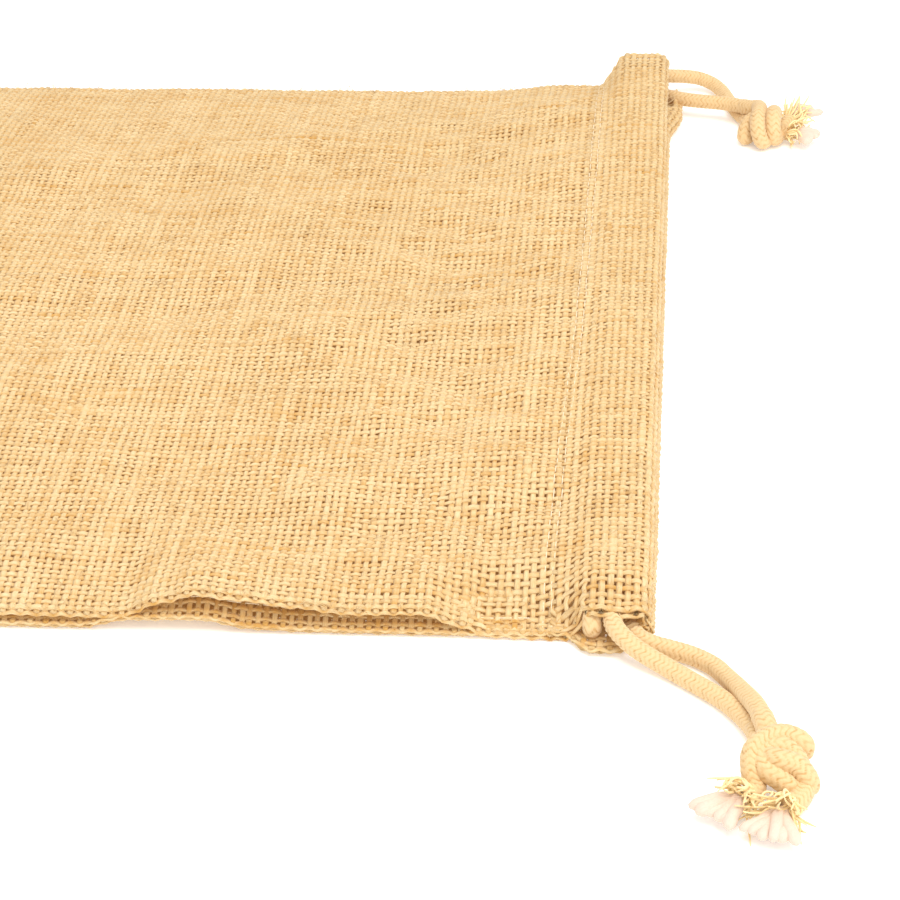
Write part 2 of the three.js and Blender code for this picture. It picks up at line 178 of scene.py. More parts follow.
# Cords inside the casings. The near cord lies next to the mouth fold, the far cord behind it.
NEAR_CORD_X = 0.1932
FAR_CORD_X = 0.1876
STATIONS = (-0.134, -0.112, -0.088, -0.05, 0.0, 0.05, 0.1, 0.125)
NEAR_UPPER_START = [(0.1920, -0.15, 0.00745), (0.1923, -0.145, 0.00815)]
NEAR_LEG_END = 0.137        # where the near upper leg meets its turn
FAR_UPPER_START = [(0.1876, -0.1455, 0.0081)]
FAR_LEG_END = 0.146         # where the far upper leg starts to come down to its exit
FAR_UPPER_EXIT = [(0.1876, 0.1526, 0.0131)]
NEAR_LOWER_LEG = [
    (0.1965, -0.1498, 0.0033), (0.1949, -0.146, 0.0032), (0.1936, -0.141, 0.00315),
    (0.1932, -0.135, 0.00315), (0.1932, 0.0, 0.00315), (0.1932, 0.137, 0.00315),
]
NEAR_TURN = [
    (0.1932, 0.137, 0.0135), (0.1932, 0.1386, 0.01345), (0.1932, 0.1416, 0.012),
    (0.1932, 0.1432, 0.0083), (0.1932, 0.1416, 0.0046), (0.1932, 0.1386, 0.0032),
    (0.1932, 0.137, 0.00315),
]
FAR_LOWER_LEG = [
    (0.1876, -0.1455, 0.00315), (0.1876, 0.0, 0.00315), (0.1876, 0.125, 0.00315),
    (0.1877, 0.14, 0.0034), (0.1892, 0.1452, 0.0039), (0.1926, 0.1476, 0.0045),
    (0.1968, 0.1462, 0.0051),
]
FAR_TURN = [
    (0.1876, -0.1455, 0.0081), (0.1876, -0.1473, 0.008), (0.1876, -0.1499, 0.0073),
    (0.1876, -0.151, 0.0056), (0.1876, -0.1499, 0.0039), (0.1876, -0.1473, 0.0032),
    (0.1876, -0.1455, 0.00315),
]

# The two cords inside each knot, from the strand's end to the tail.
NEAR_KNOT_ROUTES = [
    [
        (0.2226, -0.1850, 0.0030), (0.2234, -0.1886, 0.0034), (0.2252, -0.1925, 0.0032),
        (0.2284, -0.1960, 0.0024), (0.2316, -0.1998, 0.0022), (0.2330, -0.2036, 0.0032),
        (0.2322, -0.2038, 0.0056), (0.2300, -0.2032, 0.0078), (0.2268, -0.2030, 0.0088),
        (0.2246, -0.2010, 0.0078), (0.2254, -0.1982, 0.0058), (0.2286, -0.1962, 0.0050),
        (0.2318, -0.1962, 0.0062), (0.2316, -0.1966, 0.0084), (0.2280, -0.1960, 0.0098),
        (0.2240, -0.1976, 0.0096), (0.2216, -0.2006, 0.0084), (0.2216, -0.2036, 0.0060),
        (0.2222, -0.2056, 0.0036), (0.2212, -0.2076, 0.0031), (0.2204, -0.2086, 0.0030),
    ],
    [
        (0.2238, -0.1860, 0.0072), (0.2246, -0.1896, 0.0072), (0.2256, -0.1932, 0.0056),
        (0.2278, -0.1972, 0.0030), (0.2300, -0.2012, 0.0022), (0.2304, -0.2044, 0.0024),
        (0.2288, -0.2054, 0.0042), (0.2266, -0.2052, 0.0060), (0.2244, -0.2042, 0.0070),
        (0.2236, -0.2018, 0.0078), (0.2250, -0.1996, 0.0084), (0.2276, -0.1990, 0.0088),
        (0.2300, -0.2000, 0.0074), (0.2316, -0.2024, 0.0048), (0.2318, -0.2052, 0.0032),
        (0.2310, -0.2078, 0.0029), (0.2294, -0.2102, 0.0030), (0.2278, -0.2116, 0.0030),
    ],
]
FAR_KNOT_ROUTES = [
    [
        (0.2243, 0.1324, 0.0029), (0.2256, 0.1286, 0.0033), (0.2262, 0.1250, 0.0036),
        (0.2250, 0.1216, 0.0030), (0.2238, 0.1196, 0.0026), (0.2240, 0.1206, 0.0048),
        (0.2256, 0.1232, 0.0066), (0.2290, 0.1256, 0.0064), (0.2322, 0.1270, 0.0072),
        (0.2322, 0.1230, 0.0092), (0.2320, 0.1190, 0.0092), (0.2320, 0.1166, 0.0062),
        (0.2326, 0.1180, 0.0032), (0.2340, 0.1226, 0.0030), (0.2356, 0.1262, 0.0036),
        (0.2374, 0.1292, 0.0040),
    ],
    [
        (0.2234, 0.1336, 0.0067), (0.2256, 0.1310, 0.0074), (0.2276, 0.1290, 0.0084),
        (0.2280, 0.1236, 0.0096), (0.2274, 0.1184, 0.0090), (0.2276, 0.1154, 0.0062),
        (0.2288, 0.1156, 0.0032), (0.2306, 0.1200, 0.0026), (0.2330, 0.1226, 0.0032),
        (0.2356, 0.1222, 0.0034), (0.2378, 0.1210, 0.0033),
    ],
]


class PouchSettings(bpy.types.PropertyGroup):
    """Sizes and colours of the pouch's cloth, cords and thread."""

    pitch_along: bpy.props.FloatProperty(
        name="Cross Yarn Pitch", description="Spacing of the yarns that cross the pouch",
        default=0.0019, unit="LENGTH")
    pitch_across: bpy.props.FloatProperty(
        name="Long Yarn Pitch", description="Spacing of the yarns that run to the mouth",
        default=0.3 / 176, unit="LENGTH")
    yarn_width: bpy.props.FloatProperty(
        name="Yarn Width", description="Width of a jute yarn", default=0.00146, unit="LENGTH")
    yarn_height: bpy.props.FloatProperty(
        name="Yarn Height", description="Thickness of a jute yarn", default=0.00070, unit="LENGTH")
    crimp: bpy.props.FloatProperty(
        name="Crimp", description="How far a yarn goes over and under the others",
        default=0.00030, unit="LENGTH")
    cord_width: bpy.props.FloatProperty(
        name="Cord Diameter", description="Diameter of the braided drawcord",
        default=0.0042, unit="LENGTH")
    # Light Jute is also the painted light on yarns where they go over a crossing, and Deep Jute the
    # painted shade where they go under.
    jute_pale_and_lit: bpy.props.FloatVectorProperty(
        name="Light Jute", description="Colour of the palest jute fibres", subtype="COLOR",
        size=4, default=(0.68, 0.535, 0.315, 1.0))
    jute_deep_and_shade: bpy.props.FloatVectorProperty(
        name="Deep Jute", description="Colour of the darker jute fibres", subtype="COLOR",
        size=4, default=(0.54, 0.305, 0.082, 1.0))
    cord_light: bpy.props.FloatVectorProperty(
        name="Cord", description="Colour of the braided cotton", subtype="COLOR",
        size=4, default=(0.77, 0.56, 0.305, 1.0))
    # Painted shade: a darker colour put into the grooves between the braid's picks, where the cord's
    # own cotton lies in shade.
    cord_groove_shade: bpy.props.FloatVectorProperty(
        name="Cord Groove", description="Colour between the braid's picks", subtype="COLOR",
        size=4, default=(0.56, 0.30, 0.09, 1.0))
    # Painted light: the loose sheath yarns are made paler than the braid's own cotton, to lift the
    # shade that falls among them.
    fray_colour_and_light: bpy.props.FloatVectorProperty(
        name="Frayed Sheath", description="Colour of the loose sheath yarns", subtype="COLOR",
        size=4, default=(0.98, 0.78, 0.43, 1.0))
    core_white: bpy.props.FloatVectorProperty(
        name="Core", description="Colour of the cord's soft cotton core", subtype="COLOR",
        size=4, default=(0.78, 0.62, 0.51, 1.0))
    thread_white: bpy.props.FloatVectorProperty(
        name="Thread", description="Colour of the sewing thread", subtype="COLOR",
        size=4, default=(0.86, 0.73, 0.52, 1.0))


def settings():
    """The scene's own pouch settings."""
    return bpy.context.scene.pouch


# ---- Shapes of the cloth ----

def smooth(t):
    """Eases from 0 to 1 while t goes from 0 to 1."""
    s = np.clip(t, 0.0, 1.0)
    return s * s * (3 - 2 * s)


def grown(place, span):
    """Eases from 0 to 1 over a span, which is a start and a length."""
    start, length = span
    return smooth((place - start) / length)


def eased(pairs, place):
    """A value that eases from one (place, value) pair to the next."""
    places = np.array([p[0] for p in pairs])
    values = np.array([p[1] for p in pairs])
    place = np.clip(place, places[0], places[-1])
    i = np.clip(np.searchsorted(places, place, side="right"), 1, len(pairs) - 1)
    share = (place - places[i - 1]) / (places[i] - places[i - 1])
    return values[i - 1] + (values[i] - values[i - 1]) * smooth(share)


def waves(rows, x, y):
    """The sum of slow waves, each with its waves per metre, phase and height."""
    turn = 2 * math.pi
    return sum(high * np.sin(turn * (a * x + b * y) + phase) for a, b, phase, high in rows)


def lower_height(x, y):
    """Middle of the lower cloth."""
    return LAYER + eased(NEAR_LIFT, x) * grown(-y, LIFT_NEAR)


def upper_height(x, y):
    """Middle of the upper cloth behind the casing."""
    across = 1 - np.abs(y / HALF) ** 3
    dome = EDGE_HEIGHT + DOME_RISE * across * grown(x, DOME_SPAN)
    rise = grown(x, RISE_SPAN) * (1 - FAR_SAG * grown(y, SAG_FAR))
    height = dome + (eased(UPPER_CENTRE, y) - dome) * rise
    near_edge = grown(-y, EDGE_SPAN)
    far_edge = grown(y, EDGE_SPAN)
    loose = grown(x, WAVE_SPAN) * (1 - NEAR_CALM * near_edge) * (1 - FAR_CALM * far_edge)
    height = height + eased(NEAR_RIM, x) * near_edge + waves(WAVES, x, y) * loose
    pulled = grown(x, PUCKER_SPAN) * (1 - grown(x, PUCKER_END_SPAN))
    return height + waves(PUCKERS, x, y) * pulled * loose


FOLD_START = MOUTH - FOLD_RADIUS


def round_fold(beyond, radius):
    """The angle that cloth has turned round a fold, and how far it then runs back."""
    return np.clip(beyond / radius, 0, math.pi), np.clip(beyond - math.pi * radius, 0, None)


def fold_angle(place):
    """How far round the mouth fold a place is, and how far back inside the casing."""
    return round_fold(place - (FOLD_START - BOTTOM), FOLD_RADIUS)


def casing_x(place):
    """Where the cloth lies along the pouch, for a length measured along it from the bottom."""
    angle, back = fold_angle(place)
    return np.minimum(BOTTOM + place, FOLD_START) + FOLD_RADIUS * np.sin(angle) - back


def casing_height(place, x, z_flat, centre, side):
    """Follows the cloth round a casing: over the cords, round the mouth fold and back inside.
    place is the length from the bottom. side is 1 on the upper casing and -1 on the lower one."""
    angle, back = fold_angle(place)
    inside = (MOUTH - CHANNEL - x) / HEM_DROP
    inner = centre - side * FOLD_RADIUS
    tail = z_flat - side * (2 * LAYER)
    back_z = inner + (tail - inner) * smooth(inside)
    z = np.where(angle <= 0, z_flat, centre + side * FOLD_RADIUS * np.cos(angle))
    return np.where(back > 0, back_z, z)


def near_lip(x):
    """Share by which a casing's near end stands out, round the cords that leave it."""
    return grown(x, LIP_SPAN) * (1 - grown(x, LIP_END_SPAN))


def upper_cloth(place, y):
    """Points of the upper cloth's middle, from the bottom round the mouth fold to the inner hem."""
    x = casing_x(place)
    x_flat = np.minimum(x, FOLD_START)
    centre = eased(UPPER_CENTRE, y)
    over = grown(x_flat, SLOPE_SPAN)
    body = upper_height(x_flat, y) + HEM_SWELL * grown(x_flat, SWELL_SPAN)
    flat = body + (centre + FOLD_RADIUS - body) * over
    slack = 1 - grown(-y, TIGHT_NEAR)
    foot = (CORNER_FOOT - SLACK_BACK * slack, FOOT_LENGTH + SLACK_LENGTH * slack)
    corner = grown(-y, CORNER_NEAR) * grown(x_flat, CORNER_SPAN) * (1 - grown(x_flat, foot))
    flat = flat + (eased(NEAR_CORNER, x_flat) - flat) * corner
    droop = ARCH_DROOP * grown(x_flat, DROOP_SPAN) * grown(-y, CUP_NEAR)
    z = casing_height(place, x, flat - droop, centre - droop, 1)
    far_out = FAR_REACH * grown(x, REACH_SPAN) * grown(y, REACH_FAR)
    near_out = ARCH_REACH * near_lip(x) * grown(-y, ARCH_NEAR)
    return np.stack([x, y + far_out - near_out, z], -1)


def lower_cloth(place, y):
    """The same for the lower cloth."""
    x = casing_x(place)
    x_flat = np.minimum(x, FOLD_START)
    flat = lower_height(x_flat, y)
    flat = flat + (LOWER_CENTRE - FOLD_RADIUS - flat) * grown(x_flat, SLOPE_SPAN)
    z = casing_height(place, x, flat, LOWER_CENTRE, -1)
    x = x + (LOWER_PEEK + FAR_LIP * grown(y, LIP_FAR)) * grown(x, PEEK_SPAN)
    return np.stack([x, y - CUP_REACH * near_lip(x) * grown(-y, CUP_NEAR), z], -1)


def turned(side_width):
    """Where the cloth lies across, for a width measured along it, and how far it has turned inwards."""
    edge = HALF - INSET - EDGE_ROLL
    angle, back = round_fold(np.clip(np.abs(side_width) - edge, 0, None), EDGE_ROLL)
    out = np.minimum(np.abs(side_width), edge) + EDGE_ROLL * np.sin(angle) - back
    return np.sign(side_width) * out, EDGE_ROLL * (1 - np.cos(angle)), back


def turned_bottom(place):
    """The same for the bottom edge, for a length measured from it."""
    edge = INSET + EDGE_ROLL
    angle, back = round_fold(np.clip(edge - place, 0, None), EDGE_ROLL)
    along = np.maximum(place, edge) - EDGE_ROLL * np.sin(angle) + back
    return along, EDGE_ROLL * (1 - np.cos(angle)), back


SLOPE_STEP = 0.0002         # half the length over which the cloth's slope is measured
SEAM_CLOSE = 0.8            # how far apart the allowances lie, in half layers


def cloth_grid(layer, places, widths):
    """Points of a cloth, and the way its outer face points, on a grid of lengths and widths."""
    cloth = upper_cloth if layer == "upper" else lower_cloth
    y, turn_in, back = turned(widths)
    places, bottom_turn, bottom_back = turned_bottom(places)
    turn_in = turn_in + bottom_turn
    back = np.maximum(back, bottom_back)
    at = cloth(places, y)
    along = cloth(places + SLOPE_STEP, y) - cloth(places - SLOPE_STEP, y)
    across = cloth(places, y + SLOPE_STEP) - cloth(places, y - SLOPE_STEP)
    normal = np.cross(along, across)
    normal /= np.linalg.norm(normal, axis=-1, keepdims=True)
    if layer == "lower":
        normal = -normal
    at = at - normal * turn_in[..., None]
    meet = (upper_height(at[..., 0], y) + lower_height(at[..., 0], y)) / 2
    side = 1 if layer == "upper" else -1
    flat_part = (places < HEM - BOTTOM) * smooth(back / FLAT_SEAM)
    at[..., 2] += (meet + side * LAYER * SEAM_CLOSE - at[..., 2]) * flat_part
    return at, normal


# ---- Meshes ----

def smoothed(values, reach):
    """Averages random values along each row, keeping their spread."""
    window = np.hanning(2 * reach + 3)[1:-1]
    window /= np.sqrt((window ** 2).sum())
    padded = np.pad(values, ((0, 0), (reach, reach)), mode="wrap")
    return np.stack([np.convolve(row, window, mode="valid") for row in padded])


NEVER_ZERO = 1e-12


def tube_rings(centres, ups, half_width, half_height, sides):
    """Rings of points round many lines at once. centres is lines x rings x 3."""
    tangent = np.gradient(centres, axis=1)
    tangent /= np.linalg.norm(tangent, axis=-1, keepdims=True) + NEVER_ZERO
    aside = np.cross(tangent, ups)
    aside /= np.linalg.norm(aside, axis=-1, keepdims=True) + NEVER_ZERO
    up = np.cross(aside, tangent)
    turn = 2 * math.pi * (np.arange(sides) + 0.5) / sides
    wide = half_width[..., None, None] * np.cos(turn)[:, None]
    high = half_height[..., None, None] * np.sin(turn)[:, None]
    return centres[:, :, None, :] + aside[:, :, None, :] * wide + up[:, :, None, :] * high


class Shape:
    """Collects tubes and turns them into one mesh with a UV map and a tint."""

    def __init__(self):
        self.points, self.faces, self.sizes, self.uvs, self.tints = [], [], [], [], []
        self.count = 0

    def add_tubes(self, rings, tint, uv_length):
        """Closes rings into capped tubes. The map runs round each tube and along its length."""
        lines, steps, sides = rings.shape[:3]
        index = self.count + np.arange(lines * steps * sides).reshape(lines, steps, sides)
        nxt = np.roll(index, -1, axis=2)
        quads = np.stack([index[:, :-1], nxt[:, :-1], nxt[:, 1:], index[:, 1:]], -1).reshape(-1, 4)
        around = np.arange(sides) / sides
        u = np.stack([around, around + 1 / sides, around + 1 / sides, around], -1)
        u = np.broadcast_to(u, (lines, steps - 1, sides, 4))
        v0 = np.broadcast_to(uv_length[:, :-1, None], (lines, steps - 1, sides))
        v1 = np.broadcast_to(uv_length[:, 1:, None], (lines, steps - 1, sides))
        v = np.stack([v0, v0, v1, v1], -1)
        self.points.append(rings.reshape(-1, 3))
        self.faces.append(quads.ravel())
        self.sizes.append(np.full(len(quads), 4))
        self.uvs.append(np.stack([u, v], -1).reshape(-1, 2))
        for end, flip in ((index[:, 0], True), (index[:, -1], False)):
            caps = end[:, ::-1] if flip else end
            self.faces.append(caps.ravel())
            self.sizes.append(np.full(lines, sides))
            self.uvs.append(np.tile([[0.5, 0.0]], (lines * sides, 1)))
        self.tints.append(np.broadcast_to(tint[..., None], (lines, steps, sides)).reshape(-1))
        self.count += lines * steps * sides

    def build(self, name, material):
        """The finished object."""
        points = np.concatenate(self.points).astype(np.float32)
        corners = np.concatenate(self.faces).astype(np.int32)
        sizes = np.concatenate(self.sizes)
        starts = np.concatenate([[0], np.cumsum(sizes)[:-1]]).astype(np.int32)
        mesh = bpy.data.meshes.new(name)
        mesh.vertices.add(len(points))
        mesh.vertices.foreach_set("co", points.ravel())
        mesh.loops.add(len(corners))
        mesh.loops.foreach_set("vertex_index", corners)
        mesh.polygons.add(len(starts))
        mesh.polygons.foreach_set("loop_start", starts)
        mesh.polygons.foreach_set("use_smooth", np.ones(len(starts), bool))
        uv = mesh.uv_layers.new(name="Yarn")
        uv.data.foreach_set("uv", np.concatenate(self.uvs).astype(np.float32).ravel())
        mesh.update(calc_edges=True)
        tint = mesh.attributes.new("tint", "FLOAT", "POINT")
        tint.data.foreach_set("value", np.concatenate(self.tints).astype(np.float32))
        mesh.materials.append(material)
        piece = bpy.data.objects.new(name, mesh)
        bpy.context.scene.collection.objects.link(piece)
        return piece


# Counts of the yarns. Cross yarns are counted from the bottom, long yarns from the middle.
ROWS = 246                  # all the cross yarns, with those turned in at the bottom
MARGIN = 10                 # yarns beyond the bottom and past each side edge
LAST_ROW = 199              # cross yarn at the casing's edge
FOLD_ROW = 213              # cross yarn at the end of the mouth fold
HEM_ROW = 223               # cross yarn at the end of the inner hem
SEAM_ROWS = (8, 196)        # cross yarns between which the side allowances run
BOTTOM_ROWS = 6             # cross yarns of the bottom allowance
EDGE_COL = 88               # long yarn at the side edge
TURN_COL = 92               # last long yarn of the turned edge beside a casing
SEAM_COL = 95               # last long yarn of the seam allowance
HEM_COL = 79                # last long yarn of the inner hem
BOTTOM_COL = 77             # last long yarn of the bottom allowance

# Wander, thickness and colour of the yarns: the spread along a yarn, and from yarn to yarn.
WANDER_CROSS = 0.00009
WANDER_LONG = 0.00007
WANDER_ROW = 0.00005
LIFT = 0.00007              # spread of the crossings' height
THICK = (0.07, 0.05)
THICK_LIMITS = (0.62, 1.7)
TINT = (0.13, 0.05)
TINT_MIDDLE = 0.50
CROSSING_PAINTED_SHADE = 0.30          # painted shade and light: how much deeper a yarn's colour is where it goes under, and how much paler where it goes over
SLUB_SPACING = 640          # crossings of a yarn for each slub
SLUB_LENGTH = (3, 9)        # crossings that a slub is long
SLUB_SWELL = (0.25, 0.75)   # how much thicker it is
CROSS_WIDEN = 1.08          # cross yarns are a little wider


class Weave:
    """The yarns of one layer of cloth, with their own wander, thickness and colour."""

    def __init__(self, layer, seed):
        s = settings()
        self.layer = layer
        rng = np.random.default_rng(seed)
        rows, cols = ROWS, 2 * EDGE_COL + 1 + 2 * MARGIN
        wander_x = smoothed(rng.standard_normal((rows, cols)), 5) * WANDER_CROSS
        wander_x += rng.standard_normal((rows, 1)) * WANDER_ROW
        wander_y = smoothed(rng.standard_normal((cols, rows)), 6).T * WANDER_LONG
        wander_y += rng.standard_normal((1, cols)) * WANDER_ROW
        self.place = (np.arange(rows) - MARGIN)[:, None] * s.pitch_along + wander_x
        self.width = (np.arange(cols) - EDGE_COL - MARGIN)[None, :] * s.pitch_across + wander_y
        crossing = np.add.outer(np.arange(rows), np.arange(cols))
        self.over = np.where(crossing % 2 == 0, 1.0, -1.0)
        thick_long = 1 + THICK[0] * smoothed(rng.standard_normal((cols, rows)), 4).T
        thick_cross = 1 + THICK[0] * smoothed(rng.standard_normal((rows, cols)), 4)
        thick_long += THICK[1] * rng.standard_normal((1, cols))
        thick_cross += THICK[1] * rng.standard_normal((rows, 1))
        self.thick_long = np.clip(thick_long + self.slubs(rng, cols, rows).T, *THICK_LIMITS)
        self.thick_cross = np.clip(thick_cross + self.slubs(rng, rows, cols), *THICK_LIMITS)
        tint_long = TINT[0] * smoothed(rng.standard_normal((cols, rows)), 3).T
        tint_cross = TINT[0] * smoothed(rng.standard_normal((rows, cols)), 3)
        self.tint_long = tint_long + TINT[1] * rng.standard_normal((1, cols)) + TINT_MIDDLE
        # Painted shade and light at the crossings: a long yarn's tint, and below a cross yarn's, is
        # deeper where it goes under and paler where it goes over.
        self.tint_long += self.over * CROSSING_PAINTED_SHADE
        self.tint_cross = tint_cross + TINT[1] * rng.standard_normal((rows, 1)) + TINT_MIDDLE
        self.tint_cross -= self.over * CROSSING_PAINTED_SHADE
        self.lift = LIFT * rng.standard_normal((rows, cols))

    @staticmethod
    def slubs(rng, lines, steps):
        """Thick places a few crossings long."""
        extra = np.zeros((lines, steps))
        for _ in range(int(lines * steps / SLUB_SPACING)):
            line, start = rng.integers(lines), rng.integers(steps - SLUB_LENGTH[1])
            length = rng.integers(*SLUB_LENGTH)
            bump = np.sin(np.linspace(0, math.pi, length + 2))[1:-1]
            extra[line, start:start + length] += bump * rng.uniform(*SLUB_SWELL)
        return extra

    def span(self, rows, cols):
        """Grid points and outward directions for a range of cross yarns and long yarns."""
        r = slice(rows[0] + MARGIN, rows[1] + MARGIN + 1)
        shift = EDGE_COL + MARGIN
        c = slice(cols[0] + shift, cols[1] + shift + 1)
        at, normal = cloth_grid(self.layer, self.place[r, c], self.width[r, c])
        return r, c, at + normal * self.lift[r, c, None], normal

    def add_long(self, shape, rows, cols, sides=5):
        """Yarns that run from the bottom to the mouth."""
        s = settings()
        r, c, at, normal = self.span(rows, cols)
        centres = at + normal * (self.over[r, c, None] * s.crimp)
        centres, normal = centres.transpose(1, 0, 2), normal.transpose(1, 0, 2)
        thick = self.thick_long[r, c].T
        wide = thick * s.yarn_width / 2
        rings = tube_rings(centres, normal, wide, thick * s.yarn_height / 2, sides)
        tint = self.tint_long[r, c].T
        shape.add_tubes(rings, tint, np.broadcast_to(self.place[r, c].T, tint.shape))

    def add_cross(self, shape, rows, cols, sides=5):
        """Yarns that run from side to side."""
        s = settings()
        r, c, at, normal = self.span(rows, cols)
        centres = at - normal * (self.over[r, c, None] * s.crimp)
        thick = self.thick_cross[r, c]
        wide = thick * CROSS_WIDEN * s.yarn_width / 2
        rings = tube_rings(centres, normal, wide, thick * s.yarn_height / 2, sides)
        tint = self.tint_cross[r, c]
        shape.add_tubes(rings, tint, np.broadcast_to(self.width[r, c], tint.shape))


# ---- Routes ----

ROUTE_PARTS = 24            # straight parts between two given points


def route(points, step):
    """A smooth line through given points, with rings a step apart."""
    p = np.array(points, float)
    ends = np.vstack([2 * p[0] - p[1], p, 2 * p[-1] - p[-2]])
    line = []
    for a, b, c, d in zip(ends[:-3], ends[1:-2], ends[2:-1], ends[3:]):
        gaps = np.sqrt([np.linalg.norm(b - a), np.linalg.norm(c - b), np.linalg.norm(d - c)])
        k0, k1 = 0.0, gaps[0]
        k2 = k1 + gaps[1]
        k3 = k2 + gaps[2]
        for t in np.linspace(k1, k2, ROUTE_PARTS, endpoint=False):
            ab = (k1 - t) / (k1 - k0) * a + (t - k0) / (k1 - k0) * b
            bc = (k2 - t) / (k2 - k1) * b + (t - k1) / (k2 - k1) * c
            cd = (k3 - t) / (k3 - k2) * c + (t - k2) / (k3 - k2) * d
            abc = (k2 - t) / (k2 - k0) * ab + (t - k0) / (k2 - k0) * bc
            bcd = (k3 - t) / (k3 - k1) * bc + (t - k1) / (k3 - k1) * cd
            line.append((k2 - t) / (k2 - k1) * abc + (t - k1) / (k2 - k1) * bcd)
    line.append(p[-1])
    line = np.array(line)
    lengths = np.concatenate([[0], np.cumsum(np.linalg.norm(np.diff(line, axis=0), axis=1))])
    count = max(3, int(round(lengths[-1] / step)) + 1)
    places = np.linspace(0, lengths[-1], count)
    return np.stack([np.interp(places, lengths, line[:, k]) for k in range(3)], -1), places


def carried_ups(centres):
    """Directions square to a line that turn with it and never spin round it."""
    tangent = np.gradient(centres, axis=0)
    tangent /= np.linalg.norm(tangent, axis=-1, keepdims=True)
    start = np.array([0.0, 0.0, 1.0])
    ups = [start - tangent[0] * start.dot(tangent[0])]
    for t in tangent[1:]:
        up = ups[-1] - t * ups[-1].dot(t)
        ups.append(up / np.linalg.norm(up))
    ups[0] /= np.linalg.norm(ups[0])
    return np.array(ups)


KNOT_SWELL = 1.10           # cords look thicker where a knot flattens them
BRAID_COLUMNS = 10          # ribs of slanting picks round the cord
BRAID_PICK = 0.00128        # length of cord that one pick takes
BRAID_SLANT = 0.85          # picks that a rib's slant spans
BRAID_DEPTH = 0.00032       # how deep the grooves are
BRAID_LEVEL = 0.75          # height of the relief that lies at the cord's own radius
FINE_CORD = (0.00030, 40)   # length of a step along a cord, and sides, where its braid shows
PLAIN_CORD = (0.0022, 12)   # the same where it stays inside the casings


def braid_relief(around, along):
    """Height of a herringbone braid, from 0 in its grooves to 1 on its picks."""
    rib = around * BRAID_COLUMNS
    column = np.floor(rib)
    across = rib - column - 0.5
    lean = np.where(column % 2 == 0, 1.0, -1.0)
    phase = along / BRAID_PICK + lean * across * BRAID_SLANT
    ridge = np.abs(np.cos(math.pi * phase)) ** 0.5
    edge = 1 - np.abs(2 * across) ** 6 * 0.7
    return ridge * edge


def add_cord(shape, points, width, fine):
    """Adds one braided cord. A fine one has its braid in its surface."""
    step, sides = FINE_CORD if fine else PLAIN_CORD
    centres, lengths = route(points, step)
    ups = carried_ups(centres)
    radius = np.full((1, len(centres)), width / 2)
    ring = tube_rings(centres[None], ups[None], radius, radius, sides)[0]
    tint = np.ones((1, len(centres)))
    if not fine:
        shape.add_tubes(ring[None], tint, lengths[None])
        return centres
    around = ((np.arange(sides) + 0.5) / sides)[None, :]
    relief = braid_relief(around, lengths[:, None])
    outwards = ring - centres[:, None, :]
    outwards /= np.linalg.norm(outwards, axis=-1, keepdims=True)
    ring = ring + outwards * ((relief - BRAID_LEVEL) * BRAID_DEPTH)[..., None]
    shape.add_tubes(ring[None], tint, lengths[None])
    # The braid's relief becomes the tint, which paints shade into its grooves.
    shape.tints[-1] = relief.reshape(-1)
    return centres


# ---- Materials ----

def new_material(name):
    """A material, its nodes, its links and its main shader."""
    material = bpy.data.materials.new(name)
    material.use_nodes = True
    nodes = material.node_tree.nodes
    return material, nodes, material.node_tree.links, nodes["Principled BSDF"]


def add_node(nodes, kind, **inputs):
    """A node with some inputs set. An underscore stands for a space in an input's name."""
    node = nodes.new(kind)
    for key, value in inputs.items():
        node.inputs[key.replace("_", " ")].default_value = value
    return node


def colour_ramp(nodes, stops):
    """A colour ramp with a place and a colour for each stop."""
    ramp = nodes.new("ShaderNodeValToRGB")
    elements = ramp.color_ramp.elements
    while len(elements) < len(stops):
        elements.new(0.5)
    for element, (place, colour) in zip(elements, stops):
        element.position = place
        element.color = colour
    return ramp


def mixed(nodes, links, kind, factor, first, second):
    """Mixes two colours. factor is a number or a socket, and so are the colours."""
    mix = nodes.new("ShaderNodeMix")
    mix.data_type = "RGBA"
    mix.blend_type = kind
    for socket, value in ((0, factor), (6, first), (7, second)):
        if isinstance(value, bpy.types.NodeSocket):
            links.new(value, mix.inputs[socket])
        else:
            mix.inputs[socket].default_value = value
    return mix.outputs[2]


def fibre_noise(nodes, links, around, along, detail):
    """Streaks that follow a yarn, read from its own map."""
    uv = nodes.new("ShaderNodeUVMap")
    uv.uv_map = "Yarn"
    mapping = nodes.new("ShaderNodeMapping")
    mapping.inputs["Scale"].default_value = (around, along, 1.0)
    noise = add_node(nodes, "ShaderNodeTexNoise", Scale=1.0, Detail=detail, Roughness=0.62)
    links.new(uv.outputs[0], mapping.inputs[0])
    links.new(mapping.outputs[0], noise.inputs["Vector"])
    return noise.outputs["Fac"]


def object_noise(nodes, links, scale, detail):
    """Spots that follow a place on the object."""
    place = nodes.new("ShaderNodeTexCoord")
    noise = add_node(nodes, "ShaderNodeTexNoise", Scale=scale, Detail=detail, Roughness=0.6)
    links.new(place.outputs["Object"], noise.inputs["Vector"])
    return noise.outputs["Fac"]


def add_bump(nodes, links, shader, height, strength, distance):
    """Fine relief on a finish."""
    bump = add_node(nodes, "ShaderNodeBump", Strength=strength, Distance=distance)
    links.new(height, bump.inputs["Height"])
    links.new(bump.outputs[0], shader.inputs["Normal"])


def tint_value(nodes):
    """The tint that each point of a yarn or a cord carries: the yarns' tone with painted shade and
    light at their crossings, and the braid's relief, which paints shade into its grooves.
    """
    tint = nodes.new("ShaderNodeAttribute")
    tint.attribute_name = "tint"
    return tint.outputs["Fac"]


JUTE_PAINTED_GLOW = (0.95, 0.50, 0.16, 1.0)     # painted glow: warm light the jute gives off by itself, in place of light shining through its thin fibres
PAINTED_GLOW_STRENGTH = 0.10


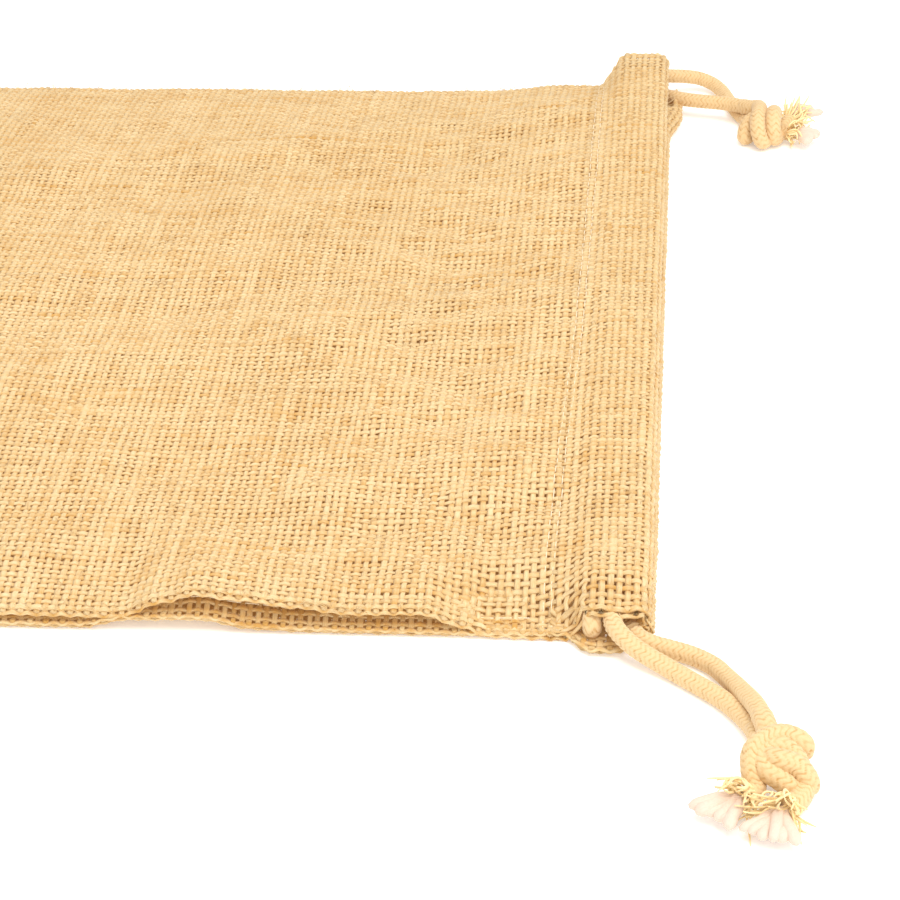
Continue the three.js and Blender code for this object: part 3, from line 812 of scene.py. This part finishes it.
def jute_material(name, light, deep):
    """Jute yarn: pale fibres with deeper streaks, a few dark flecks, dry and slightly glossy, with
    painted shade and light at the crossings and a faint painted glow.
    """
    material, nodes, links, shader = new_material(name)
    base = colour_ramp(nodes, [(0.05, deep), (0.75, light)])
    links.new(tint_value(nodes), base.inputs[0])
    streaks = fibre_noise(nodes, links, around=7.0, along=420.0, detail=5.0)
    deepen = colour_ramp(nodes, [(0.30, (0.82, 0.70, 0.50, 1)), (0.62, (1.05, 1.05, 1.04, 1))])
    links.new(streaks, deepen.inputs[0])
    streaked = mixed(nodes, links, "MULTIPLY", 0.85, base.outputs[0], deepen.outputs[0])
    flecks = colour_ramp(nodes, [(0.70, (1, 1, 1, 1)), (0.77, (0.52, 0.36, 0.20, 1))])
    links.new(object_noise(nodes, links, scale=900.0, detail=2.0), flecks.inputs[0])
    flecked = mixed(nodes, links, "MULTIPLY", 0.8, streaked, flecks.outputs[0])
    patches = colour_ramp(nodes, [(0.32, (0.97, 0.95, 0.91, 1)), (0.68, (1.03, 1.03, 1.03, 1))])
    links.new(object_noise(nodes, links, scale=38.0, detail=3.0), patches.inputs[0])
    final = mixed(nodes, links, "MULTIPLY", 0.9, flecked, patches.outputs[0])
    links.new(final, shader.inputs["Base Color"])
    shader.inputs["Roughness"].default_value = 0.74
    shader.inputs["Specular IOR Level"].default_value = 0.28
    shader.inputs["Sheen Weight"].default_value = 0.12
    shader.inputs["Sheen Roughness"].default_value = 0.5
    shader.inputs["Emission Color"].default_value = JUTE_PAINTED_GLOW
    shader.inputs["Emission Strength"].default_value = PAINTED_GLOW_STRENGTH
    add_bump(nodes, links, shader, streaks, strength=0.55, distance=0.00012)
    return material


def cotton_material(name, light, groove_shade, shade_from_tint):
    """Cotton: soft and matt, with painted shade in the grooves between its picks."""
    material, nodes, links, shader = new_material(name)
    fibres = fibre_noise(nodes, links, around=34.0, along=1500.0, detail=4.0)
    if shade_from_tint:
        # Painted shade: where the braid's relief in the tint is low, the colour turns to the groove
        # colour.
        base = colour_ramp(nodes, [(0.02, groove_shade), (0.75, light)])
        links.new(tint_value(nodes), base.inputs[0])
        base_colour = base.outputs[0]
    else:
        base_colour = light
    vary = colour_ramp(nodes, [(0.3, (0.90, 0.87, 0.82, 1)), (0.7, (1.04, 1.03, 1.02, 1))])
    links.new(fibres, vary.inputs[0])
    final = mixed(nodes, links, "MULTIPLY", 0.8, base_colour, vary.outputs[0])
    links.new(final, shader.inputs["Base Color"])
    shader.inputs["Roughness"].default_value = 0.8
    shader.inputs["Specular IOR Level"].default_value = 0.2
    shader.inputs["Sheen Weight"].default_value = 0.2
    shader.inputs["Sheen Roughness"].default_value = 0.5
    add_bump(nodes, links, shader, fibres, strength=0.4, distance=0.00008)
    return material


def finish(name):
    """The named finish, made when it is first asked for."""
    made = bpy.data.materials.get(name)
    if made:
        return made
    s = settings()
    if name == "Jute":
        return jute_material(name, tuple(s.jute_pale_and_lit), tuple(s.jute_deep_and_shade))
    if name == "Braid":
        return cotton_material(name, tuple(s.cord_light), tuple(s.cord_groove_shade), True)
    if name == "Fray":
        return cotton_material(name, tuple(s.fray_colour_and_light), tuple(s.fray_colour_and_light), False)
    if name == "Core":
        return cotton_material(name, tuple(s.core_white), tuple(s.core_white), False)
    return cotton_material(name, tuple(s.thread_white), tuple(s.thread_white), False)


# ---- Motion ----

# A cord's legs are in two lengths, which slide over each other where they overlap in the casings.
CORD_OVERLAP = 0.06         # how far the sliding length goes past the middle of the pouch
LEG_SEEN = 0.064            # length of a leg that can be pulled out of its casing
LEG_JOIN = 0.006            # overlap of its fine and its plain braid
FAR_LEG_SLACK = 0.0008      # how far the far upper leg lies below the middle of its casing
LEG_DROP = 0.05             # how far along the near upper leg lies at its casing's lower height


def gather(piece):
    """Bakes a piece's placement into its mesh."""
    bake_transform(piece)
    return piece


# ---- Operators ----

class POUCH_OT_cords(bpy.types.Operator):
    """Braids both drawcords: legs inside the casings, turns, free strands and knots"""

    bl_idname = "pouch.cords"
    bl_label = "Braid Cords"

    def execute(self, context):
        self.inside_cords()
        width = settings().cord_width
        knots = {}
        for side, routes in (("near", NEAR_KNOT_ROUTES), ("far", FAR_KNOT_ROUTES)):
            shape = Shape()
            for points in routes:
                add_cord(shape, points, width * KNOT_SWELL, fine=True)
            knots[side] = shape.build(f"{side}_knot_braid", finish("Braid"))
            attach(knots[side], f"{side}_end")
            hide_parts(f"{side}_knot")
        strands = {
            "near_strand_upper": (NEAR_STRAND_UPPER, "near", [knots["near"]]),
            "near_strand_lower": (NEAR_STRAND_LOWER, "near", []),
            "far_strand_upper": (FAR_STRAND_UPPER, "far", [knots["far"]]),
            "far_strand_lower": (FAR_STRAND_LOWER, "far", []),
        }
        for node, (points, side, carried) in strands.items():
            shape = Shape()
            centres = add_cord(shape, points, width, fine=True)
            piece = shape.build(node + "_braid", finish("Braid"))
            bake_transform(piece)
            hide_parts(node)
        return {"FINISHED"}

    def inside_cords(self):
        """The legs and turns that lie inside the casings."""
        upper_near = NEAR_UPPER_START + [
            (NEAR_CORD_X, y, self.centre(y - LEG_DROP)) for y in STATIONS
        ]
        upper_near.append((NEAR_CORD_X, NEAR_LEG_END, self.centre(NEAR_LEG_END)))
        upper_far = FAR_UPPER_START + [
            (FAR_CORD_X, y, self.centre(y) - FAR_LEG_SLACK) for y in STATIONS
        ]
        upper_far.append((FAR_CORD_X, FAR_LEG_END, self.centre(FAR_LEG_END)))
        upper_far += FAR_UPPER_EXIT
        inside = {
            "near_cord_upper_leg": (upper_near, "near_cord"),
            "near_cord_lower_leg": (NEAR_LOWER_LEG, "near_cord"),
            "near_cord_turn": (NEAR_TURN, "near_cord"),
            "far_cord_upper_leg": (upper_far, "far_cord"),
            "far_cord_lower_leg": (FAR_LOWER_LEG, "far_cord"),
            "far_cord_turn": (FAR_TURN, "far_cord"),
        }
        for node, (points, body) in inside.items():
            side, sign = ("far", FAR) if body == "near_cord" else ("near", NEAR)
            if node.endswith("turn"):
                gather(self.inside_piece(node, "braid", points, True))
                continue
            line = route(points, PLAIN_CORD[0])[0]
            sliding = line[sign * line[:, 1] < CORD_OVERLAP]
            pulled = np.linalg.norm(sliding - points[0 if sign > 0 else -1], axis=1)
            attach(self.inside_piece(node, "braid", sliding, False, pulled), body)
            turning = line[sign * line[:, 1] > 0.0]
            gather(self.inside_piece(node, "turning_braid", turning, False))

    @staticmethod
    def inside_piece(node, ending, points, fine, pulled=None):
        """One length of cord. Its braid is fine where a pull can bring it into sight."""
        shape = Shape()
        width = settings().cord_width
        if pulled is None:
            add_cord(shape, points, width, fine)
        else:
            add_cord(shape, points[pulled < LEG_SEEN], width, True)
            add_cord(shape, points[pulled > LEG_SEEN - LEG_JOIN], width, False)
        piece = shape.build(f"{node}_{ending}", finish("Braid"))
        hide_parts(node)
        return piece

    @staticmethod
    def centre(y):
        """Height of the upper casing's middle."""
        return float(eased(UPPER_CENTRE, np.array(y)))


CORE_RADIUS = 0.00115       # of a core strand
YARN_RADIUS = 0.00027       # of a sheath yarn
CORE_FLOOR = 0.0011         # lowest height of a core strand's middle
YARN_FLOOR = 0.0004         # and of a sheath yarn's
CORE_SPREAD = 0.62          # how far the outer core strands bow out, in strand lengths
FRAY_TURN = (-35, 250)      # degrees round the sheath: the first yarn, and how far they go round
FRAY_SEED = 70

# Frayed tails: node, side, where the sheath opens, the way it points, the length of its strands,
# and how many strands of core and of sheath it has.
TAILS = [
    ("near_tail_left", "near", (0.2206, -0.2082, 0.0034), (-0.72, -0.69, 0.0), 0.0104, 6, 38),
    ("near_tail_right", "near", (0.2280, -0.2112, 0.0034), (-0.34, -0.94, 0.0), 0.0112, 6, 38),
    ("far_tail_upper", "far", (0.2376, 0.1296, 0.0040), (0.62, 0.78, 0.10), 0.0090, 6, 34),
    ("far_tail_lower", "far", (0.2380, 0.1208, 0.0034), (0.86, -0.42, 0.02), 0.0074, 6, 34),
]


class POUCH_OT_frays(bpy.types.Operator):
    """Frays the cords' ends into sheath yarns and soft core strands"""

    bl_idname = "pouch.frays"
    bl_label = "Fray Cord Ends"

    def execute(self, context):
        for seed, tail in enumerate(TAILS):
            self.fray(np.random.default_rng(FRAY_SEED + seed), *tail)
        return {"FINISHED"}

    def fray(self, rng, name, side, start, way, reach, cores, yarns):
        """One frayed tail: a piece of core strands and a piece of sheath yarns."""
        start, way = np.array(start), np.array(way)
        way = way / np.linalg.norm(way)
        aside = np.cross(way, [0, 0, 1.0])
        aside /= np.linalg.norm(aside)
        core = Shape()
        for k in range(cores):
            share = (k + 0.5) / cores * 2 - 1
            self.strand(core, rng, start, way, aside, share, reach)
        piece = core.build(f"{name}_cotton", finish("Core"))
        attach(piece, f"{side}_end")
        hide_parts(f"{name}_core")
        sheath = Shape()
        for k in range(yarns):
            turn = math.radians(FRAY_TURN[0] + FRAY_TURN[1] * (k + rng.uniform(0, 0.8)) / yarns)
            self.yarn(sheath, rng, start, way, aside, turn, reach)
        piece = sheath.build(f"{name}_yarns", finish("Fray"))
        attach(piece, f"{side}_end")
        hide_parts(f"{name}_sheath")

    @staticmethod
    def strand(shape, rng, start, way, aside, share, reach):
        """One fat core strand, pinched where it leaves the sheath and blunt at its end."""
        steps = 15
        t = np.linspace(0, 1, steps)[:, None]
        length = reach * rng.uniform(0.9, 1.1)
        bow = aside * share * reach * CORE_SPREAD
        rise = np.array([0, 0, 1.0]) * rng.uniform(-0.0003, 0.0012)
        line = start + way * length * t + bow * t ** 1.3 + rise * np.sin(t * math.pi)
        line += aside * 0.0003 * np.sin(7 * t + rng.uniform(0, 6))
        line[:, 2] = np.maximum(line[:, 2], CORE_FLOOR)
        swell = 0.55 + 0.55 * smooth(t[:, 0] / 0.6)
        swell *= np.sqrt(np.clip(1 - (np.clip(t[:, 0] - 0.86, 0, 1) / 0.15) ** 2, 0.05, 1))
        swell *= 1 + 0.08 * smoothed(rng.standard_normal((1, steps)), 2)[0]
        r = (CORE_RADIUS * swell)[None]
        rings = tube_rings(line[None], carried_ups(line)[None], r * 1.1, r, 10)
        shape.add_tubes(rings, np.ones((1, steps)), (t[:, 0] * reach)[None])

    @staticmethod
    def yarn(shape, rng, start, way, aside, turn, reach):
        """One thin sheath yarn that bends out over the core."""
        steps = 14
        t = np.linspace(0, 1, steps)[:, None]
        up = np.array([0, 0, 1.0])
        out = aside * math.cos(turn) + up * math.sin(turn)
        length = reach * rng.uniform(0.45, 0.95)
        spread = rng.uniform(0.25, 0.8)
        line = start - way * 0.0012 + out * 0.0017
        line = line + way * length * t * rng.uniform(0.6, 1.0) + out * length * spread * t ** 1.6
        line = line + up * rng.uniform(-0.002, 0.003) * np.sin(t * math.pi)
        line = line + aside * rng.uniform(-0.0016, 0.0016) * np.sin(t * rng.uniform(2, 7))
        line[:, 2] = np.maximum(line[:, 2], YARN_FLOOR)
        taper = 1 - 0.5 * smooth((t[:, 0] - 0.8) / 0.2)
        r = np.full((1, steps), YARN_RADIUS) * taper[None]
        rings = tube_rings(line[None], carried_ups(line)[None], r, r, 6)
        shape.add_tubes(rings, np.ones((1, steps)), (t[:, 0] * reach)[None])


SIDES = (("near", NEAR), ("far", FAR))
LAYERS = (("upper", 11), ("lower", 23))     # each cloth and the seed of its yarns


def columns(sign, first, last):
    """A range of long yarns, counted from the middle of the pouch to one side."""
    return (-last, -first) if sign < 0 else (first, last)


class POUCH_OT_cloth(bpy.types.Operator):
    """Weaves the two jute panels, their casings and the turned-in seam allowances"""

    bl_idname = "pouch.cloth"
    bl_label = "Weave Jute"

    def execute(self, context):
        for layer, seed in LAYERS:
            weave = Weave(layer, seed)
            for side, sign in SIDES:
                self.panel(weave, layer, side, sign)
        return {"FINISHED"}

    def panel(self, weave, layer, side, sign):
        """Half of a panel, with its half of the casing and its side allowance."""
        sides = 5 if layer == "upper" else 4
        first = 1 if sign < 0 else 0
        long_yarns = Shape()
        weave.add_long(long_yarns, (0, LAST_ROW), columns(sign, first, EDGE_COL), sides)
        cross_yarns = Shape()
        weave.add_cross(cross_yarns, (0, LAST_ROW), columns(sign, 0, EDGE_COL), sides)
        casing = Shape()
        outer = columns(sign, first, EDGE_COL)
        weave.add_long(casing, (LAST_ROW, FOLD_ROW), outer)
        weave.add_cross(casing, (LAST_ROW + 1, FOLD_ROW), columns(sign, 0, TURN_COL))
        weave.add_long(casing, (LAST_ROW, FOLD_ROW), columns(sign, EDGE_COL + 1, TURN_COL))
        weave.add_long(casing, (FOLD_ROW, HEM_ROW), columns(sign, first, HEM_COL))
        weave.add_cross(casing, (FOLD_ROW + 1, HEM_ROW), columns(sign, 0, HEM_COL))
        seam = Shape()
        weave.add_long(seam, SEAM_ROWS, columns(sign, EDGE_COL + 1, SEAM_COL), 4)
        weave.add_cross(seam, SEAM_ROWS, columns(sign, EDGE_COL, SEAM_COL), 4)
        jute = finish("Jute")
        pieces = {
            "long": long_yarns.build(f"{layer}_panel_long_yarns_{side}", jute),
            "cross": cross_yarns.build(f"{layer}_panel_cross_yarns_{side}", jute),
            "casing": casing.build(f"{layer}_casing_{side}", jute),
            "seam": seam.build(f"{side}_seam_{layer}_allowance", jute),
        }
        for piece in pieces.values():
            gather(piece)
        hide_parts(f"{layer}_panel")
        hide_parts(f"{layer}_panel")
        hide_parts(f"{layer}_casing")
        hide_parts(f"{side}_side_seam")


class POUCH_OT_bottom_seam(bpy.types.Operator):
    """Turns in the allowances of the bottom seam"""

    bl_idname = "pouch.bottom_seam"
    bl_label = "Sew Bottom Seam"

    def execute(self, context):
        jute = finish("Jute")
        for layer, seed in LAYERS:
            weave = Weave(layer, seed)
            for side, sign in SIDES:
                shape = Shape()
                first = 1 if sign < 0 else 0
                weave.add_long(shape, (-BOTTOM_ROWS, 0), columns(sign, first, BOTTOM_COL), 4)
                weave.add_cross(shape, (-BOTTOM_ROWS, -1), columns(sign, 0, BOTTOM_COL), 4)
                piece = shape.build(f"bottom_{layer}_allowance_{side}", jute)
                gather(piece)
                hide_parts("bottom_seam")
        return {"FINISHED"}


HEM_ROWS = (("back", 0.0208), ("front", 0.0189))    # each row of hem stitches, back from the mouth
HEM_SLANT = 0.0027          # how much further back the stitches run at the near corner
HEM_UNEVEN = 0.00008        # how unevenly they are placed
STITCH_RISE = 0.00052       # height of a stitch over the middle of the cloth
STITCH_SINK = 0.00005       # how far its ends go in
FIRST_STITCH = 0.0006       # start of a row to its first stitch
SEAM_ROW = 0.0042           # side or bottom edge to the seam's stitches


class POUCH_OT_stitches(bpy.types.Operator):
    """Sews the casings and the seams with rows of single stitches"""

    bl_idname = "pouch.stitches"
    bl_label = "Sew Stitches"

    LENGTH = 0.0031
    GAP = 0.0009
    RADIUS = 0.00014
    STEPS = 7

    def execute(self, context):
        rng = np.random.default_rng(5)
        for row, back in HEM_ROWS:
            for layer in ("upper", "lower"):
                for side, sign in SIDES:
                    self.hem_row(rng, layer, row, back, side, sign)
        for side, sign in SIDES:
            self.side_row(side, sign)
            self.bottom_row(side, sign)
        return {"FINISHED"}

    def add_stitch(self, shape, line, ups):
        """One stitch of thread along a short line."""
        r = np.full((1, self.STEPS), self.RADIUS)
        rings = tube_rings(line[None], ups[None], r, r, 6)
        along = np.linspace(0, self.LENGTH, self.STEPS)
        shape.add_tubes(rings, np.ones((1, self.STEPS)), along[None])

    def starts(self, length):
        """Where the stitches of a row start."""
        return np.arange(FIRST_STITCH, length - self.LENGTH, self.LENGTH + self.GAP)

    def hem_row(self, rng, layer, row, back, side, sign):
        """Half of one row of stitches along a casing."""
        shape = Shape()
        for first in self.starts(HALF - 0.002):
            y = sign * (first + np.linspace(0, self.LENGTH, self.STEPS))
            slant = HEM_SLANT * smooth(-y / HALF) + rng.normal(0, HEM_UNEVEN)
            at, normal = cloth_grid(layer, MOUTH - back - slant - BOTTOM, y)
            press = np.sin(np.linspace(0, math.pi, self.STEPS)) ** 0.5
            rise = STITCH_RISE * press - STITCH_SINK
            self.add_stitch(shape, at + normal * rise[:, None], normal)
        piece = shape.build(f"{layer}_hem_stitches_{row}_{side}", finish("Thread"))
        gather(piece)
        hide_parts(f"{layer}_hem_thread_{row}")

    def seam_row(self, name, node, side, places):
        """Stitches through both allowances, in the middle of the seam."""
        shape = Shape()
        for x, y in places:
            z = (upper_height(x, y) + lower_height(x, y)) / 2
            line = np.stack([x, y, z], -1)
            self.add_stitch(shape, line, np.tile([0.0, 0.0, 1.0], (self.STEPS, 1)))
        piece = shape.build(name, finish("Thread"))
        gather(piece)
        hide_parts(node)

    def side_row(self, side, sign):
        """The stitches of a side seam."""
        y = np.full(self.STEPS, sign * (HALF - SEAM_ROW))
        run = np.linspace(0, self.LENGTH, self.STEPS)
        places = [(SEAM_X[0] + s + run, y) for s in self.starts(SEAM_X[1] - SEAM_X[0])]
        self.seam_row(f"{side}_side_stitches", f"{side}_side_thread", side, places)

    def bottom_row(self, side, sign):
        """Half of the bottom seam's stitches."""
        x = np.full(self.STEPS, BOTTOM + SEAM_ROW)
        run = np.linspace(0, self.LENGTH, self.STEPS)
        places = [(x, sign * (s + run)) for s in self.starts(HALF - SEAM_WIDTH - 0.006)]
        self.seam_row(f"bottom_stitches_{side}", "bottom_thread", side, places)


HAIR_COUNTS = (1800, 260, 86)           # hairs on half the cloth, on its side edge and its mouth
HAIR_RISE = (0.0012, 0.0022, 0.0016)    # how far each kind stands off
HAIR_REACH = (0.0016, 0.0058)           # how long they are
HAIR_RADIUS = 0.00007
HAIR_FLOOR = 0.0003                     # lowest height of a hair


class POUCH_OT_hairs(bpy.types.Operator):
    """Adds loose jute fibres that stand off the cloth and its edges"""

    bl_idname = "pouch.hairs"
    bl_label = "Add Loose Fibres"

    STEPS = 6

    def execute(self, context):
        rng = np.random.default_rng(31)
        length = MOUTH - BOTTOM
        counts = HAIR_COUNTS
        for side, sign in SIDES:
            places = np.concatenate([
                rng.uniform(0.004, length - 0.001, counts[0]),
                rng.uniform(0.010, length - 0.022, counts[1]),
                rng.uniform(length - 0.004, length + 0.002, counts[2]),
            ])
            widths = np.concatenate([
                rng.uniform(0.002, HALF - 0.001, counts[0]),
                rng.uniform(HALF - 0.0016, HALF, counts[1]),
                rng.uniform(0.004, HALF - 0.004, counts[2]),
            ])
            shape = Shape()
            self.add_hairs(shape, rng, places, sign * widths, np.repeat(HAIR_RISE, counts))
            piece = shape.build(f"upper_loose_fibres_{side}", finish("Jute"))
            gather(piece)
        return {"FINISHED"}

    def add_hairs(self, shape, rng, places, widths, rise):
        """Bowed hairs that start at points of the upper cloth."""
        at, normal = cloth_grid("upper", places, widths)
        count = len(places)
        turn = rng.uniform(0, 2 * math.pi, count)
        reach = rng.uniform(*HAIR_REACH, count)
        way = np.stack([np.cos(turn), np.sin(turn), 0 * turn], -1) * reach[:, None]
        side = np.stack([-way[:, 1], way[:, 0], 0 * turn], -1) * rng.uniform(-0.5, 0.5, (count, 1))
        lift = normal * (rise * rng.uniform(0.2, 1.0, count))[:, None]
        t = np.linspace(0, 1, self.STEPS)[None, :, None]
        bow = np.sin(t * math.pi * rng.uniform(0.5, 0.95, (count, 1, 1)))
        root = at + normal * HAIR_FLOOR
        lines = root[:, None] + way[:, None] * t + side[:, None] * t ** 2 + lift[:, None] * bow
        lines[..., 2] = np.maximum(lines[..., 2], HAIR_FLOOR)
        radius = np.full((count, self.STEPS), HAIR_RADIUS) * (1 - 0.6 * t[..., 0])
        ups = np.broadcast_to(normal[:, None], lines.shape)
        tint = np.broadcast_to(rng.uniform(0.5, 1.0, (count, 1)), radius.shape)
        shape.add_tubes(tube_rings(lines, ups, radius, radius, 3), tint, reach[:, None] * t[..., 0])


FLOOR_GLOW = 0.25           # lifts the floor to white under soft shadows


class POUCH_OT_stage(bpy.types.Operator):
    """Sets the white floor, the soft lights and the camera"""

    bl_idname = "pouch.stage"
    bl_label = "Set Stage"

    FOCAL = 112.0
    SENSOR = 36.0
    PLACE = (0.2066, -0.6604, 0.3437)
    YAW, TILT, ROLL = 5.48, 29.94, -1.79
    FLOOR_SIZE = 14.0
    WORLD_STRENGTH = 0.80
    LIGHTS = (
        ("Key", (0.32, -0.42, 1.1), 0.9, 10.0),
        ("Fill", (0.9, -0.9, 0.9), 1.2, 4.5),
    )
    LIT_PLACE = (0.15, -0.05, 0.0)

    def execute(self, context):
        scene = bpy.context.scene
        camera = bpy.data.objects.new("Camera", bpy.data.cameras.new("Camera"))
        scene.collection.objects.link(camera)
        camera.data.lens = self.FOCAL
        camera.data.sensor_width = self.SENSOR
        camera.data.clip_start = 0.01
        camera.data.clip_end = 50.0
        camera.location = self.PLACE
        camera.matrix_world = self.aim()
        scene.camera = camera
        bpy.ops.object.select_all(action="DESELECT")
        bpy.ops.mesh.primitive_plane_add(size=self.FLOOR_SIZE, location=(0, 0, 0))
        floor = bpy.context.active_object
        floor.name = "floor"
        material, _, _, shader = new_material("White Floor")
        shader.inputs["Base Color"].default_value = (0.96, 0.96, 0.96, 1)
        shader.inputs["Roughness"].default_value = 0.9
        shader.inputs["Specular IOR Level"].default_value = 0.0
        shader.inputs["Emission Color"].default_value = (1.0, 1.0, 1.0, 1)
        shader.inputs["Emission Strength"].default_value = FLOOR_GLOW
        floor.data.materials.append(material)
        world = bpy.data.worlds.new("Studio")
        world.use_nodes = True
        background = world.node_tree.nodes["Background"]
        background.inputs["Color"].default_value = (1.0, 0.995, 0.985, 1)
        background.inputs["Strength"].default_value = self.WORLD_STRENGTH
        scene.world = world
        for light in self.LIGHTS:
            self.add_light(*light)
        scene.view_settings.view_transform = "Standard"
        return {"FINISHED"}

    def aim(self):
        """The camera's place and turn, from its angles."""
        yaw, tilt, roll = (math.radians(a) for a in (self.YAW, self.TILT, self.ROLL))
        level = math.cos(tilt)
        ahead = Vector((-math.sin(yaw) * level, math.cos(yaw) * level, -math.sin(tilt)))
        right = Vector((math.cos(yaw), math.sin(yaw), 0.0))
        up = right.cross(ahead)
        right, up = (
            math.cos(roll) * right + math.sin(roll) * up,
            math.cos(roll) * up - math.sin(roll) * right,
        )
        turn = Matrix((right, up, -ahead)).transposed().to_4x4()
        return Matrix.Translation(self.PLACE) @ turn

    def add_light(self, name, place, size, power):
        """A round soft light that points at the pouch."""
        data = bpy.data.lights.new(name, "AREA")
        data.shape = "DISK"
        data.size = size
        data.energy = power
        light = bpy.data.objects.new(name, data)
        bpy.context.scene.collection.objects.link(light)
        light.location = place
        aim = Vector(self.LIT_PLACE) - Vector(place)
        light.rotation_euler = aim.to_track_quat("-Z", "Y").to_euler()


class POUCH_PT_panel(bpy.types.Panel):
    """Lists the pouch's steps and its main sizes"""

    bl_idname = "POUCH_PT_panel"
    bl_label = "Jute Pouch"
    bl_space_type = "VIEW_3D"
    bl_region_type = "UI"
    bl_category = "Pouch"

    def draw(self, context):
        layout = self.layout
        for name in PouchSettings.__annotations__:
            layout.prop(context.scene.pouch, name)
        for step in STEPS:
            layout.operator(step.bl_idname)


STEPS = (
    POUCH_OT_stage,
    POUCH_OT_cords,
    POUCH_OT_frays,
    POUCH_OT_cloth,
    POUCH_OT_bottom_seam,
    POUCH_OT_stitches,
    POUCH_OT_hairs,
)
CLASSES = (PouchSettings, *STEPS, POUCH_PT_panel)


def register():
    for cls in CLASSES:
        bpy.utils.register_class(cls)
    bpy.types.Scene.pouch = bpy.props.PointerProperty(type=PouchSettings)


def unregister():
    del bpy.types.Scene.pouch
    for cls in reversed(CLASSES):
        bpy.utils.unregister_class(cls)


def main():
    register()
    bpy.ops.object.select_all(action="DESELECT")
    bpy.ops.pouch.stage()
    bpy.ops.pouch.cords()
    bpy.ops.pouch.frays()
    bpy.ops.pouch.cloth()
    bpy.ops.pouch.bottom_seam()
    bpy.ops.pouch.stitches()
    bpy.ops.pouch.hairs()


if __name__ == "__main__":
    main()
